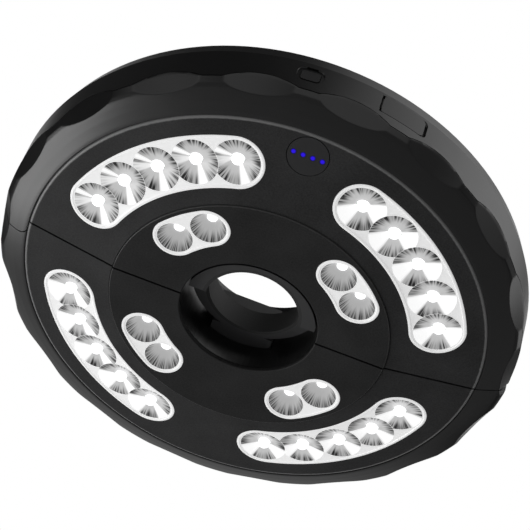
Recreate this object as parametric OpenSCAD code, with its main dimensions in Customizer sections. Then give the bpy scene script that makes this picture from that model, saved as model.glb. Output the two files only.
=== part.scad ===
// Round clip-on light for an umbrella pole. Two half discs swing apart on a pin at one end of
// their split, close round the pole, and hold it between two sprung jaws. The lit face looks
// down: LEDs sit in bright bowls in a conical face plate and a flat hub plate.
// Z runs up the pole, and the hub plate's lit face lies at z = 0. The split is the X axis, the
// pin is at its +X end, the main half is at -Y and the swing half at +Y.

/* [Body] */
// Outside radius of the side band
body_r = 100; // [96:0.5:108]
// Height from the hub plate's face to the top
body_h = 36.5; // [36:0.5:42]
// Height of the seam between lower and top shells
seam_z = 14.8; // [14.4:0.1:16]
// Wall thickness of the top shell
wall_t = 2.2; // [1.8:0.1:2.6]
// Thickness of the lower shell's rim behind the scallops
rim_t = 3.8; // [3.4:0.1:4.4]
// Gap along the split between the two halves
split_gap = 0.4; // [0.3:0.05:0.6]
// Gap at the seams between fixed mouldings
seam_gap = 0.2; // [0.15:0.05:0.3]
// Bevel on the edges of the face plates
edge_bevel = 0.35; // [0.2:0.05:0.5]

/* [Lit face] */
// Room for a jaw between the thickest pole and the edge of the hub hole
jaw_room = 3.3; // [3:0.1:4]
// Width of the flat hub plate
hub_plate_w = 27; // [26:0.1:28]
// How far the conical plate's inner edge lies above the hub plate's face
disc_step = 0.6; // [0.3:0.1:0.9]
// Width of the bezel outside the conical face plate
bezel_w = 12; // [11.5:0.1:13]
// Rise of the conical plate from its inner to its outer edge
face_rise = 6.4; // [5.8:0.1:6.8]
// Thickness of the face plates
plate_t = 1.6; // [1.3:0.1:1.8]
// Thickness of the lower shell's floor under the plates
floor_t = 1.6; // [1.3:0.1:1.8]
// Width of the groove round the face plate
groove_w = 0.6; // [0.4:0.1:0.8]

/* [Scallops] */
// Number of scallops round the rim
scallop_count = 18; // [12:1:20]
// Angle of the first scallop
scallop_start = -5; // [-8:1:-2]
// Half the width of a scallop, in degrees
scallop_half = 7.35; // [6:0.05:7.8]
// Height of the scallop's top edge above the seam
scallop_rise = 3; // [2:0.1:3.4]
// Depth of the scallop's lower tip below the seam
scallop_drop = 4.1; // [3.5:0.1:4.4]

/* [Lights] */
// How far the outer LEDs' ring lies inside the middle of the conical plate
outer_ring_in = 0.35; // [0:0.05:1]
// Outer LEDs in each group
outer_leds = 5; // [3:1:5]
// Angle between neighbouring outer LEDs
outer_pitch = 12.7; // [12.3:0.1:13]
// Radius of an outer bowl at the face
outer_bowl_r = 8.8; // [8.2:0.1:9]
// Land between the inner bowls' white margin and the edge of the hub plate
inner_land = 1.8; // [1.4:0.1:2.4]
// Inner LEDs in each group
inner_leds = 2; // [1:1:2]
// Angle between neighbouring inner LEDs
inner_pitch = 19.2; // [18.5:0.1:20]
// Radius of an inner bowl at the face
inner_bowl_r = 6.7; // [6.2:0.1:6.9]
// White margin round the bowls
bowl_margin = 1.6; // [1.2:0.1:1.8]
// Radius of an LED's lens
led_r = 2.5; // [2:0.1:2.6]
// Height of the LED boards' lower side
board_z = 9.7; // [9.6:0.1:10.4]
// Thickness of the circuit boards
board_t = 1.6; // [1:0.2:1.8]

/* [Pole jaws] */
// Diameter of the pole that the jaws hold as drawn
pole_d = 36; // [34:0.5:36.5]
// Thinnest pole that the jaws close on
pole_min_d = 22; // [22:1:26]
// Thickest pole that the jaws open to
pole_max_d = 46; // [42:0.5:46]
// Thickness of the rubber pads
pad_t = 1.3; // [0.8:0.1:1.5]
// Height of the lowest jaw arm above the hub plate's face
jaw_z = 5; // [4.5:0.1:6]
// Room from the top of the highest jaw arm to the top of the light
jaw_top_gap = 5.5; // [5.5:0.1:7]
// Height of each of the main jaw's two arms
arm_h = 7; // [6:0.5:8]
// Half the width of a jaw's stem
stem_w = 12; // [10:0.5:12.5]
// Running clearance of the jaws
slide_gap = 0.3; // [0.25:0.05:0.4]
// Wire diameter of the jaw springs
spring_wire = 0.6; // [0.5:0.1:1]
// Turns of a jaw spring
spring_turns = 6; // [5:1:7]

/* [Hinge] */
// Radius of the hinge pin
pin_r = 1.1; // [0.9:0.1:1.3]
// Radial clearance of the pin in its knuckles
pin_fit = 0.05; // [0.03:0.01:0.08]
// Radius of the knuckles
knuckle_r = 2.9; // [2.6:0.1:3]
// Height of the hinge spring's coil
coil_h = 4.1; // [4.1:0.1:5]
// Opening angle of the swing half
open_deg = 40; // [30:1:40]

/* [Power] */
// Radius of a battery cell
cell_r = 9.15; // [8.5:0.05:9.3]
// Length of a battery cell
cell_l = 65; // [60:0.5:67]
// How far the cells' middle lies outside the outer LEDs' ring
cell_ring_out = 1.7; // [1:0.1:2.5]
// Angle of the power button
button_deg = -95.7; // [-98:0.1:-95]
// Width of the power button
button_w = 7; // [6:0.1:8]
// Height of the power button
button_h = 4.8; // [4:0.1:5]
// Travel of the power button
button_travel = 0.8; // [0.5:0.1:0.9]
// Angle of the charging port
port_deg = -75.3; // [-77:0.1:-75]
// Width of the port's pocket
port_w = 18.4; // [17:0.1:19]
// Height of the port's pocket
port_h = 9; // [8.5:0.1:9.5]
// Radius of the round charge gauge window
gauge_r = 7.5; // [7:0.1:7.8]
// Distance between the charge gauge's four dots
gauge_pitch = 3.6; // [3.2:0.1:3.8]

/* [Fasteners] */
// Radius of a shell screw's shank
screw_r = 1.45; // [1.2:0.05:1.5]
// Radius of a shell screw's head
screw_head_r = 2.7; // [2.4:0.1:2.9]
// Length of a shell screw over all
screw_l = 12; // [10:1:14]

/* [Hidden] */
$fn = 96;

main = -1;
swing = 1;
eps = 0.01;
reach = body_r + 30;
half_gap = split_gap / 2;

black = [0.07, 0.07, 0.075];
face_grey = [0.15, 0.15, 0.155];
silver = [0.82, 0.83, 0.85];
lamp_white = [0.97, 0.97, 1];
board_green = [0.1, 0.32, 0.17];
cell_blue = [0.12, 0.3, 0.55];
steel = [0.6, 0.6, 0.62];

hub_r = pole_max_d / 2 + jaw_room;
disc_r = hub_r + hub_plate_w;
face_r = body_r - bezel_w;
outer_ring_r = (disc_r + face_r) / 2 - outer_ring_in;
inner_ring_r = disc_r - inner_bowl_r - bowl_margin - inner_land;
cell_ring_r = outer_ring_r + cell_ring_out;

// Heights on the lit face: the plate's face, its seat and the floor behind it
function face_z(r) = disc_step + (r - disc_r) * face_rise / (face_r - disc_r);
function seat_z(r) = face_z(r) + plate_t;
function floor_z(r) = seat_z(r) + floor_t;

// Where the ring of the lower shell starts beside the face plate
lip_r = face_r + groove_w;
lip_z = face_z(face_r) + 0.2;
lip_round = 0.5;
// The bezel's outline, as inset from the rim and drop below the seam
bezel_steps = [[10.4, 7.25], [7, 5.75], [4.5, 4.5], [2.5, 3.4], [1.3, 2.3], [0, 0]];
well_wall_t = 1.8;
well_top = body_h - wall_t - seam_gap;

// Side band of the top shell: a slight draft, then a taper into the top
band_top_z = body_h - 7;
band_draft = 0.3;
crown_in = 2.2;
crown_z = body_h - 1;
crown_round = 1.1;

// Scallop cutter: a wide cylinder that leans with the cut
scallop_low_r = body_r - rim_t;
scallop_top_z = seam_z + scallop_rise;
scallop_low_z = seam_z - scallop_drop;
scallop_w = body_r * sin(scallop_half);
scallop_lean = atan2(body_r - scallop_low_r, scallop_top_z - scallop_low_z);
scallop_seam_r = scallop_low_r + scallop_drop * tan(scallop_lean);
scallop_off = (body_r * cos(scallop_half) - scallop_seam_r) * cos(scallop_lean);
scallop_cut_r = (pow(scallop_w, 2) + pow(scallop_off, 2)) / (2 * scallop_off);
arch_r = (pow(scallop_w, 2) + pow(scallop_rise, 2)) / (2 * scallop_rise);
// The seam runs this far above each scallop's upper edge
arch_lift = 0.35;
tab_top_z = scallop_top_z + arch_lift;

// Locating tongue of the main half's rim, at the split's open end
tongue_x = -(face_r + groove_w - 0.2);
tongue_reach = 7.5;
tongue_round = 4.4;

// Light groups, by the angle of their middle
main_left_deg = -135;
main_right_deg = -45;
swing_left_deg = 135;
swing_right_deg = 45;
outer_cap_r = outer_bowl_r + bowl_margin;
inner_cap_r = inner_bowl_r + bowl_margin;
outer_span = outer_pitch * (outer_leds - 1) / 2;
inner_span = inner_pitch * (inner_leds - 1) / 2;
window_gap = 0.15;
tray_top = board_z - seam_gap;
bowl_floor_t = 0.8;
outer_flange_w = 1;
outer_flange_t = 0.4;
inner_flange_w = 0.8;
inner_flange_t = 1;
tray_room_z = tray_top - outer_flange_t - seam_gap;
tray_room_r = outer_ring_r + outer_cap_r + outer_flange_w + seam_gap;
led_hole_r = led_r + 0.5;
led_flange_r = led_r + 0.4;
led_flange_t = 1;
outer_led_tip = face_z(outer_ring_r) + 1.9;
inner_led_tip = 3.6;

// Jaws: how far they travel, and the arc of their backs inside the pole hole
grip_r = pole_d / 2;
jaw_in = (pole_d - pole_min_d) / 2;
jaw_out = (pole_max_d - pole_d) / 2;
jaw_back_y = hub_r - slide_gap - jaw_out;
jaw_back_r = hub_r - 0.4;
jaw_half_w = hub_r - 1.5;
jaw_end_gap = 0.4;
jaw_top = body_h - jaw_top_gap;
arm_gap = 0.8;
web_w = 13;
stem_low = jaw_z + arm_h + arm_gap;
stem_top = jaw_top - arm_gap;
stem_front = grip_r + pad_t + 0.3;
stem_back = grip_r + 20;
lug_w = 1.1;
lug_l = 2;
spigot_r = 2.6;
spigot_l = 2;
guide_low = stem_low - slide_gap;
guide_top = stem_top + slide_gap;
window_w = stem_w + slide_gap;
channel_w = stem_w + lug_w + slide_gap;
channel_wall = 1.8;
channel_stop = stem_back - lug_l - jaw_in - 0.1;
channel_back = disc_r + 2.5;
channel_end = channel_back - channel_wall;
channel_front = hub_r - 2;
cap_t = 1.6;
jaw_spring_r = spigot_r + spring_wire / 2 + 0.3;

// Hinge: knuckles stacked inside the side band
hinge_x = body_r - knuckle_r - 0.3;
knuckle_gap = 0.3;
knuckle_low = tab_top_z;
knuckle_h = (body_h - wall_t - knuckle_low - coil_h - 4 * knuckle_gap) / 3;
coil_low = knuckle_low + knuckle_h + knuckle_gap;
swing_knuckle_z = coil_low + coil_h + knuckle_gap;
top_knuckle_z = swing_knuckle_z + knuckle_h + knuckle_gap;
knuckle_clear = knuckle_r + 0.35;
gusset_l = 7;
pin_low = tab_top_z - 0.7;
pin_top = top_knuckle_z + knuckle_h - 0.8;
torsion_wire = 1;
torsion_r = pin_r + torsion_wire / 2 + 0.35;
torsion_turns = 3;
torsion_leg = 11;
split_wall_t = 1.2;
leg_y = half_gap + split_wall_t + torsion_wire / 2 + 0.05;

// Cells lie flat over the LED boards on foam saddles
cell_z = board_z + board_t + 0.9 + cell_r;
cell_nub_r = 2.8;
cell_nub_l = 1;
saddle_l = cell_l - 20;
saddle_w = cell_r * 1.6;
saddle_h = 4;
saddle_gap = 0.1;

// Control board and what stands on it
control_z = board_z + 10.4;
control_top = control_z + board_t;
control_post_r = 2.3;
control_posts = [[-14, -(body_r - 15.5)], [18, -(body_r - 15.5)]];
control_edge = body_r - 5.5;
control_left = -18;
control_right = 34;
// The board's sloping side keeps clear of the right-hand cell's end, which lies at 45 degrees
control_slope = sqrt(2) * (cell_l / 2 + 3.9);
board_screw_r = 0.9;
board_screw_head_r = 1.9;
board_screw_head_t = 1.2;
board_screw_l = 6;

// Power button, in a frame with X pointing out of the body
button_z = control_top + 1.6;
button_face = body_r - 0.7;
button_gap = 0.2;
button_corner = 1.4;
button_dish = 1.5;
button_dish_d = 1;
button_flange = 0.9;
button_flange_t = 1;
button_inner = body_r - wall_t - band_draft - 0.4;
plunger_r = 1.1;
plunger_fit = 0.1;
switch_w = 6;
switch_h = 3.6;
switch_front = body_r - 8.4;
switch_l = 4;
plunger_in = 1.5;
plunger_bore = plunger_in + button_travel + 0.2;

// Charging port and its flap
port_z = control_top + 2.1;
port_corner = 2;
flap_t = 1.2;
flap_face = body_r - 0.1;
flap_gap = 0.25;
flap_notch = 1;
port_floor_t = 1.4;
pocket_floor = flap_face - flap_t - 0.3;
port_pad_in = pocket_floor - port_floor_t;
flap_hinge_y = -port_w / 2 + flap_t / 2 + 0.3;
flap_hinge_x = sqrt(pow(flap_face - flap_t / 2, 2) - pow(flap_hinge_y, 2));
socket_w = 9;
socket_h = 3.3;
socket_l = 7.5;
socket_shell = 0.35;
socket_foot = 1;
socket_mouth = port_pad_in - 0.3;
mouth_w = socket_w + 2;
mouth_h = socket_h + 2;
mouth_gap = 0.5;
lug_depth = 1.6;

// Charge gauge in the main half's conical plate
gauge_x = -0.9;
gauge_y = -(face_r - gauge_r - 1.3);
gauge_dots = 4;
dot_r = 1;
dot_gap = 0.1;

// Shell screws: four in each half, in bosses that stand on the lower shell
boss_foot_r = 3.4;
boss_inner_r = disc_r + boss_foot_r + 0.3;
boss_inner_deg = 8;
boss_outer_r = body_r - 10;
boss_r = 2.6;
boss_hole_gap = 0.3;
screw_fit = 0.05;
screw_head_t = 2;
head_gap = 0.3;
head_z = body_h - screw_head_t - head_gap;
screw_pad_t = 2;
screw_pad_r = screw_head_r + 1.7;
boss_top = head_z - screw_pad_t - seam_gap;
shank_l = screw_l - screw_head_t;
// Shallow ring groove in the top, outside the inner screws
top_groove_r = boss_inner_r + screw_pad_r + 0.6;
top_groove_w = 1.2;
top_groove_d = 0.6;
// Angle and radius of each screw in one half
function screw_spots(side) = [
    for (a = [boss_inner_deg, 180 - boss_inner_deg]) [side * a, boss_inner_r],
    for (a = [45, 135]) [side * a, boss_outer_r]
];
slot_w = 0.8;
slot_d = 1;

// Leads
lead_r = 0.75;
lead_sides = 8;
// Each step of the battery lead, from the end of the left-hand cell: x, y and height
battery_steps = [
    [0.3, -0.3, 23.5], [2.3, -1.6, 24], [4.7, -2, 24.4], [7.4, -1.7, 24.2], [9.9, -1.2, 23.4],
    [12.4, -0.7, 22.5]
];
cell_end_x = cell_ring_r * cos(main_left_deg) - cell_l / 2 * sin(main_left_deg);
cell_end_y = cell_ring_r * sin(main_left_deg) + cell_l / 2 * cos(main_left_deg);
battery_route = [for (s = battery_steps) [cell_end_x + s[0], cell_end_y + s[1], s[2]]];
lead_run_z = body_h - 8.5;
// Each step of the link lead: its angle, its inset from the rim and its height
link_steps = [
    [-70.7, 12.1, 22.6], [-68.9, 8.4, 24.5], [-66.3, 5.5, lead_run_z - 1.5],
    [-62, 4.3, lead_run_z - 0.5], [-56.5, 4, lead_run_z], [-50.7, 3.7, lead_run_z],
    [-45, 3.8, lead_run_z], [-38.7, 4, lead_run_z], [-32.4, 4.7, lead_run_z],
    [-25.9, 6.1, lead_run_z], [-19.7, 7.8, lead_run_z], [-14.3, 10.7, lead_run_z],
    [-9.4, 14.3, lead_run_z], [-4.8, 16.7, lead_run_z], [0, 17.5, lead_run_z],
    [4.2, 17.5, lead_run_z - 1], [7.7, 18.3, lead_run_z - 4], [10.2, 20.8, 20],
    [11.6, 25.5, 16.5], [12, 32.5, 13.5], [12, 37.6, 12.1]
];
link_route = [for (s = link_steps) [(body_r - s[1]) * cos(s[0]), (body_r - s[1]) * sin(s[0]), s[2]]];
lead_port_x = link_route[14][0];
lead_port_z = link_route[14][2];

// ---- shared shapes -------------------------------------------------------------------------

// Half space of one half of the lamp, from the split outwards
module half_space(side) {
    translate([-reach, side > 0 ? half_gap : -half_gap - 2 * reach, -reach])
        cube([2 * reach, 2 * reach, 2 * reach]);
}

// Slab along the split that closes one half
module split_slab(side) {
    translate([-reach, side > 0 ? half_gap : -half_gap - split_wall_t, 0])
        cube([2 * reach, split_wall_t, body_h]);
}

// Plan of the locating tongue, grown by a gap
module tongue_plan(grow) {
    r = tongue_round + grow;
    x = tongue_x + grow;
    y = tongue_reach + grow;
    translate([-reach, -2]) square([reach + x, y - r + 2]);
    translate([-reach, -2]) square([reach + x - r, y + 2]);
    translate([x - r, y - r]) circle(r);
}

// One half of the lower shell's plan: the main half carries the tongue
module lower_half_space(side) {
    if (side > 0) {
        difference() {
            half_space(swing);
            translate([0, 0, -reach]) linear_extrude(2 * reach) tongue_plan(split_gap);
        }
    } else {
        half_space(main);
        translate([0, 0, -reach]) linear_extrude(2 * reach) tongue_plan(0);
    }
}

// Kidney-shaped prism about a ring radius: an arc of a band with round ends
module kidney(ring_r, mid_deg, span, cap_r, low, high) {
    rotate([0, 0, mid_deg - span]) rotate_extrude(angle = 2 * span)
        translate([ring_r - cap_r, low]) square([2 * cap_r, high - low]);
    for (end = [-1, 1]) rotate([0, 0, mid_deg + end * span])
        translate([ring_r, 0, low]) cylinder(r = cap_r, h = high - low);
}

// Plate with round corners that faces +X: y and z sizes, corner, and its x from and to
module facing_plate(w, h, corner, from, to) {
    translate([from, 0, 0]) rotate([90, 0, 90]) linear_extrude(to - from) {
        square([w - 2 * corner, h], center = true);
        square([w, h - 2 * corner], center = true);
        for (sy = [-1, 1], sz = [-1, 1])
            translate([sy * (w / 2 - corner), sz * (h / 2 - corner)]) circle(corner, $fn = 32);
    }
}

function unit(v) = v / norm(v);
function along(path, i) = unit(path[min(i + 1, len(path) - 1)] - path[max(i - 1, 0)]);

// Round tube swept along a path that is never vertical
module swept_tube(path, r, sides) {
    last = len(path) - 1;
    points = [
        for (i = [0:last])
            let (t = along(path, i), out = unit(cross(t, [0, 0, 1])), up = cross(out, t))
                for (k = [0:sides - 1])
                    path[i] + r * (cos(360 * k / sides) * out + sin(360 * k / sides) * up)
    ];
    faces = concat(
        [[for (k = [sides - 1:-1:0]) k]],
        [[for (k = [0:sides - 1]) last * sides + k]],
        [for (i = [0:last - 1], k = [0:sides - 1])
            [i * sides + k, i * sides + (k + 1) % sides,
             (i + 1) * sides + (k + 1) % sides, (i + 1) * sides + k]]
    );
    polyhedron(points, faces);
}

// Coil spring standing on z = 0
module coil(mean_r, wire_r, height, turns, sides, steps) {
    rise = height - 2 * wire_r;
    swept_tube([for (i = [0:turns * steps])
        [mean_r * cos(360 * i / steps), mean_r * sin(360 * i / steps),
         wire_r + rise * i / (turns * steps)]], wire_r, sides);
}

module at_each_scallop() {
    for (i = [0:scallop_count - 1])
        rotate([0, 0, scallop_start + 360 * i / scallop_count]) children();
}

// Leaning cylinder that cuts one scallop
module scallop_cutter() {
    translate([(scallop_low_r + body_r) / 2, 0, (scallop_low_z + scallop_top_z) / 2])
        rotate([0, scallop_lean, 0]) translate([scallop_cut_r, 0, 0])
            cylinder(r = scallop_cut_r, h = body_h, center = true, $fn = 240);
}

// Radial cylinder under which the lower shell rises into the side band
module scallop_arch(grow) {
    translate([body_r - 2 * rim_t, 0, tab_top_z - arch_r])
        rotate([0, 90, 0]) cylinder(r = arch_r + grow, h = 4 * rim_t, $fn = 180);
}

// ---- lower shell ---------------------------------------------------------------------------

// Bezel, floor and pole well; the floor is stepped down under the trays and the LED board
module lower_ring() {
    rotate_extrude($fn = 180) difference() {
        polygon(concat(
            [[hub_r, plate_t + seam_gap], [disc_r, plate_t + seam_gap],
             [disc_r, seat_z(disc_r) + seam_gap], [lip_r, seat_z(lip_r) + seam_gap],
             [lip_r, lip_z + lip_round], [lip_r + lip_round, lip_z]],
            [for (s = bezel_steps) [body_r - s[0], seam_z - s[1]]],
            [[body_r - rim_t, seam_z], [body_r - rim_t - 2.2, seam_z - 1.2], [face_r, floor_z(face_r)],
             [disc_r, floor_z(disc_r)], [disc_r, plate_t + floor_t],
             [hub_r + well_wall_t, plate_t + floor_t], [hub_r + well_wall_t, well_top],
             [hub_r, well_top]]));
        translate([disc_r, tray_room_z]) square([tray_room_r - disc_r, board_z + board_t - tray_room_z]);
    }
}

// Tabs of the rim that fill the arches of the side band
module rim_tabs() {
    intersection() {
        translate([0, 0, seam_z - eps]) difference() {
            cylinder(r = body_r, h = tab_top_z - seam_z + 1, $fn = 180);
            translate([0, 0, -1]) cylinder(r = body_r - rim_t, h = tab_top_z - seam_z + 3, $fn = 180);
        }
        union() at_each_scallop() scallop_arch(0);
    }
}

// Level top of the tongue, so that the side band can slide over it
module tongue_tab(grow) {
    intersection() {
        translate([0, 0, seam_z - 1]) difference() {
            cylinder(r = body_r + grow, h = tab_top_z - seam_z + 1 + grow, $fn = 180);
            translate([0, 0, -1])
                cylinder(r = body_r - rim_t - 2 * grow, h = tab_top_z - seam_z + 3, $fn = 180);
        }
        translate([-reach, 0, 0]) cube([reach / 2, tongue_reach + grow, body_h]);
    }
}

// Wall that closes the lower shell along the split
module lower_split_wall(side) {
    intersection() {
        rotate_extrude($fn = 180) polygon([
            [hub_r + 1, plate_t + floor_t / 2], [disc_r, plate_t + floor_t / 2],
            [face_r, floor_z(face_r) - floor_t / 2], [body_r - rim_t + 1, seam_z - 1],
            [body_r - rim_t + 1, seam_z], [hub_r + 1, seam_z]]);
        split_slab(side);
    }
}

// Bosses for the shell screws; the inner ones have a foot that the LED board stands on
module bosses(side) {
    for (s = screw_spots(side)) {
        low = s[1] == boss_inner_r ? seat_z(s[1] + boss_foot_r) + seam_gap + eps
                                   : floor_z(face_r) - floor_t / 2;
        rotate([0, 0, s[0]]) translate([s[1], 0, low]) {
            cylinder(r = boss_r, h = boss_top - low);
            if (s[1] == boss_inner_r) cylinder(r = boss_foot_r, h = board_z - low);
        }
    }
}

module pilots(side) {
    for (s = screw_spots(side)) rotate([0, 0, s[0]]) translate([s[1], 0, boss_top - shank_l])
        cylinder(r = screw_r + screw_fit, h = shank_l + 1);
}

// Housing that a jaw's stem slides in, written for the swing side
module jaw_housing() {
    translate([-channel_w - channel_wall, channel_front, plate_t + floor_t - eps])
        cube([2 * (channel_w + channel_wall), channel_back - channel_front,
              guide_top - plate_t - floor_t]);
}

module jaw_channel() {
    translate([-channel_w, channel_stop, guide_low])
        cube([2 * channel_w, channel_end - channel_stop, guide_top - guide_low + eps]);
    translate([-window_w, 0, guide_low]) cube([2 * window_w, channel_stop + 1, guide_top - guide_low]);
    translate([-window_w, channel_front, guide_top - 1])
        cube([2 * window_w, channel_stop - channel_front + 1, 2]);
}

module lower_shell(side, left_deg, right_deg) {
    color(black) difference() {
        union() {
            intersection() {
                difference() {
                    union() {
                        lower_ring();
                        rim_tabs();
                        if (side < 0) tongue_tab(0);
                        lower_split_wall(side);
                    }
                    at_each_scallop() scallop_cutter();
                    cylinder(r = hub_r, h = body_h);
                    hinge_relief(side);
                }
                lower_half_space(side);
            }
            bosses(side);
            difference() {
                mirror([0, side > 0 ? 0 : 1, 0]) jaw_housing();
                cylinder(r = hub_r + eps, h = body_h);
            }
            if (side < 0) control_board_posts();
        }
        mirror([0, side > 0 ? 0 : 1, 0]) jaw_channel();
        pilots(side);
        for (a = [left_deg, right_deg]) {
            kidney(outer_ring_r, a, outer_span, outer_cap_r + window_gap, -1, board_z);
            kidney(inner_ring_r, a, inner_span, inner_cap_r + window_gap, -1, board_z);
            kidney(inner_ring_r, a, inner_span, inner_cap_r + inner_flange_w + seam_gap,
                   plate_t + floor_t + seam_gap / 2, plate_t + floor_t + 2 * inner_flange_t);
            kidney(outer_ring_r, a, outer_span, outer_cap_r + outer_flange_w + seam_gap,
                   tray_room_z, board_z);
        }
        if (side < 0) gauge_opening();
    }
}

module control_board_posts() {
    foot_z = seat_z(face_r) + floor_t / 3;
    for (p = control_posts) difference() {
        translate([p[0], p[1], foot_z]) cylinder(r = control_post_r, h = control_z - foot_z);
        translate([p[0], p[1], control_top - board_screw_l])
            cylinder(r = board_screw_r + screw_fit, h = board_screw_l + 1);
    }
}

module gauge_opening() {
    translate([gauge_x, gauge_y, -1]) cylinder(r = gauge_r + window_gap, h = board_z + 2);
}

// ---- top shell -----------------------------------------------------------------------------

module top_ring() {
    low = seam_z + seam_gap;
    rotate_extrude($fn = 180) polygon([
        [body_r, low], [body_r - band_draft, band_top_z], [body_r - crown_in, crown_z],
        [body_r - crown_in - crown_round, body_h],
        [top_groove_r + top_groove_w, body_h], [top_groove_r + top_groove_w, body_h - top_groove_d],
        [top_groove_r, body_h - top_groove_d], [top_groove_r, body_h],
        [hub_r + edge_bevel, body_h], [hub_r, body_h - edge_bevel], [hub_r, body_h - wall_t],
        [body_r - crown_in - wall_t, body_h - wall_t], [body_r - band_draft - wall_t, band_top_z],
        [body_r - wall_t, low]]);
}

module hinge_gusset(side, low, h) {
    translate([hinge_x - knuckle_r, side > 0 ? half_gap : -half_gap - gusset_l, low])
        cube([knuckle_r + 1.6, gusset_l, h]);
}

// Room for the swing half's rim outside the pin as it opens
module hinge_relief(side) {
    if (side > 0) translate([hinge_x, 0, 0]) linear_extrude(body_h + 1)
        polygon([[0, 0], [reach, 0], [reach, reach * tan(open_deg + 2)]]);
}

// Wall that closes the top shell along the split; the hinge spring's legs bear on it
module top_split_wall(side) {
    difference() {
        intersection() {
            rotate_extrude($fn = 180) polygon([
                [hub_r + well_wall_t + seam_gap, seam_z + seam_gap], [body_r - 1, seam_z + seam_gap],
                [body_r - crown_in - 1, body_h - 1], [hub_r + well_wall_t + seam_gap, body_h - 1]]);
            split_slab(side);
        }
        translate([lead_port_x, -reach, lead_port_z]) rotate([-90, 0, 0])
            cylinder(r = lead_r + 0.8, h = 2 * reach);
    }
}

// Room over the tongue in the swing half's side band
module tongue_relief() {
    translate([0, -1, 0]) tongue_tab(seam_gap);
    tongue_tab(seam_gap);
}

module knuckle(low, h) {
    translate([hinge_x, 0, low]) cylinder(r = knuckle_r, h = h);
}

module knuckle_room(low, h) {
    translate([hinge_x, 0, low - knuckle_gap]) cylinder(r = knuckle_clear, h = h + 2 * knuckle_gap);
}

// Pads that carry the screws' heads under the top wall
module screw_pads(side) {
    for (s = screw_spots(side)) rotate([0, 0, s[0]]) translate([s[1], 0, head_z - screw_pad_t])
        cylinder(r = screw_pad_r, h = body_h - wall_t / 2 - head_z + screw_pad_t);
}

module screw_seats(side) {
    for (s = screw_spots(side)) rotate([0, 0, s[0]]) translate([s[1], 0, head_z]) {
        cylinder(r = screw_head_r + head_gap, h = screw_head_t + 1);
        translate([0, 0, -screw_pad_t - 1]) cylinder(r = screw_r + head_gap, h = screw_pad_t + 2);
    }
}

module cap_ribs(side) {
    for (x = [-8, 8])
        translate([x - 0.8, side > 0 ? channel_front + 6 : -channel_back, guide_top + cap_t + 0.1])
            cube([1.6, channel_back - channel_front - 6, body_h - wall_t - guide_top - cap_t]);
}

// Thick pad on the inside of the side band, where the port is cut in
module port_pad() {
    intersection() {
        rotate([0, 0, port_deg]) translate([port_pad_in, 0, port_z])
            facing_plate(port_w + 4, port_h + 3, port_corner, -eps, body_r - wall_t - port_pad_in + 0.5);
        cylinder(r = body_r - 1, h = body_h);
    }
}

module port_pocket() {
    rotate([0, 0, port_deg]) {
        translate([0, 0, port_z]) {
            difference() {
                translate([0, flap_notch / 2, 0])
                    facing_plate(port_w + flap_notch, port_h, port_corner, pocket_floor - 2, body_r + 2);
                translate([-reach, -reach, -port_h]) cube([reach + flap_hinge_x, 2 * reach, 2 * port_h]);
            }
            intersection() {
                translate([0, flap_notch / 2, 0])
                    facing_plate(port_w + flap_notch, port_h, port_corner, pocket_floor - 2,
                                 body_r + 2);
                difference() {
                    translate([0, 0, -port_h]) cylinder(r = body_r + 1, h = 2 * port_h, $fn = 180);
                    translate([0, 0, -port_h]) cylinder(r = pocket_floor, h = 2 * port_h, $fn = 180);
                }
            }
            facing_plate(mouth_w, mouth_h, 1, port_pad_in - 2, body_r);
        }
        translate([flap_hinge_x, flap_hinge_y, port_z - port_h / 2])
            cylinder(r = flap_t / 2 + 0.3, h = port_h, $fn = 32);
    }
}

module button_opening() {
    rotate([0, 0, button_deg]) translate([0, 0, button_z]) {
        facing_plate(button_w + 2 * button_gap, button_h + 2 * button_gap, button_corner,
                     body_r - 2 * wall_t, body_r + 2);
        facing_plate(button_w + 2 * button_dish, button_h + 2 * button_dish, button_corner + button_dish,
                     body_r - button_dish_d, body_r + 2);
    }
}

module top_shell(side) {
    color(black) difference() {
        union() {
            intersection() {
                difference() {
                    union() {
                        top_ring();
                        top_split_wall(side);
                        if (side < 0) port_pad();
                    }
                    union() at_each_scallop() scallop_arch(seam_gap);
                    hinge_relief(side);
                    if (side > 0) {
                        knuckle_room(knuckle_low, coil_low + coil_h - knuckle_low);
                        knuckle_room(top_knuckle_z, knuckle_h);
                    } else knuckle_room(coil_low, swing_knuckle_z + knuckle_h - coil_low);
                }
                half_space(side);
            }
            if (side > 0) {
                knuckle(swing_knuckle_z, knuckle_h);
                hinge_gusset(swing, swing_knuckle_z, knuckle_h);
            } else for (z = [knuckle_low, top_knuckle_z]) {
                knuckle(z, knuckle_h);
                hinge_gusset(main, z, knuckle_h);
            }
            cap_ribs(side);
            screw_pads(side);
        }
        translate([hinge_x, 0, seam_z]) cylinder(r = pin_r + pin_fit, h = pin_top + pin_fit - seam_z);
        if (side > 0) tongue_relief();
        screw_seats(side);
        if (side < 0) {
            port_pocket();
            button_opening();
        }
    }
}

// ---- face and hub plates -------------------------------------------------------------------

module cone_plate() {
    in_r = disc_r + groove_w;
    rotate_extrude($fn = 180) polygon([
        [in_r, face_z(in_r) + edge_bevel], [in_r + edge_bevel, face_z(in_r + edge_bevel)],
        [face_r - edge_bevel, face_z(face_r - edge_bevel)], [face_r, face_z(face_r) + edge_bevel],
        [face_r, seat_z(face_r)], [in_r, seat_z(in_r)]]);
}

module face_plate(side, left_deg, right_deg) {
    color(face_grey) difference() {
        intersection() {
            cone_plate();
            half_space(side);
        }
        for (a = [left_deg, right_deg])
            kidney(outer_ring_r, a, outer_span, outer_cap_r + window_gap, -1, board_z);
        if (side < 0) gauge_opening();
    }
}

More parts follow.
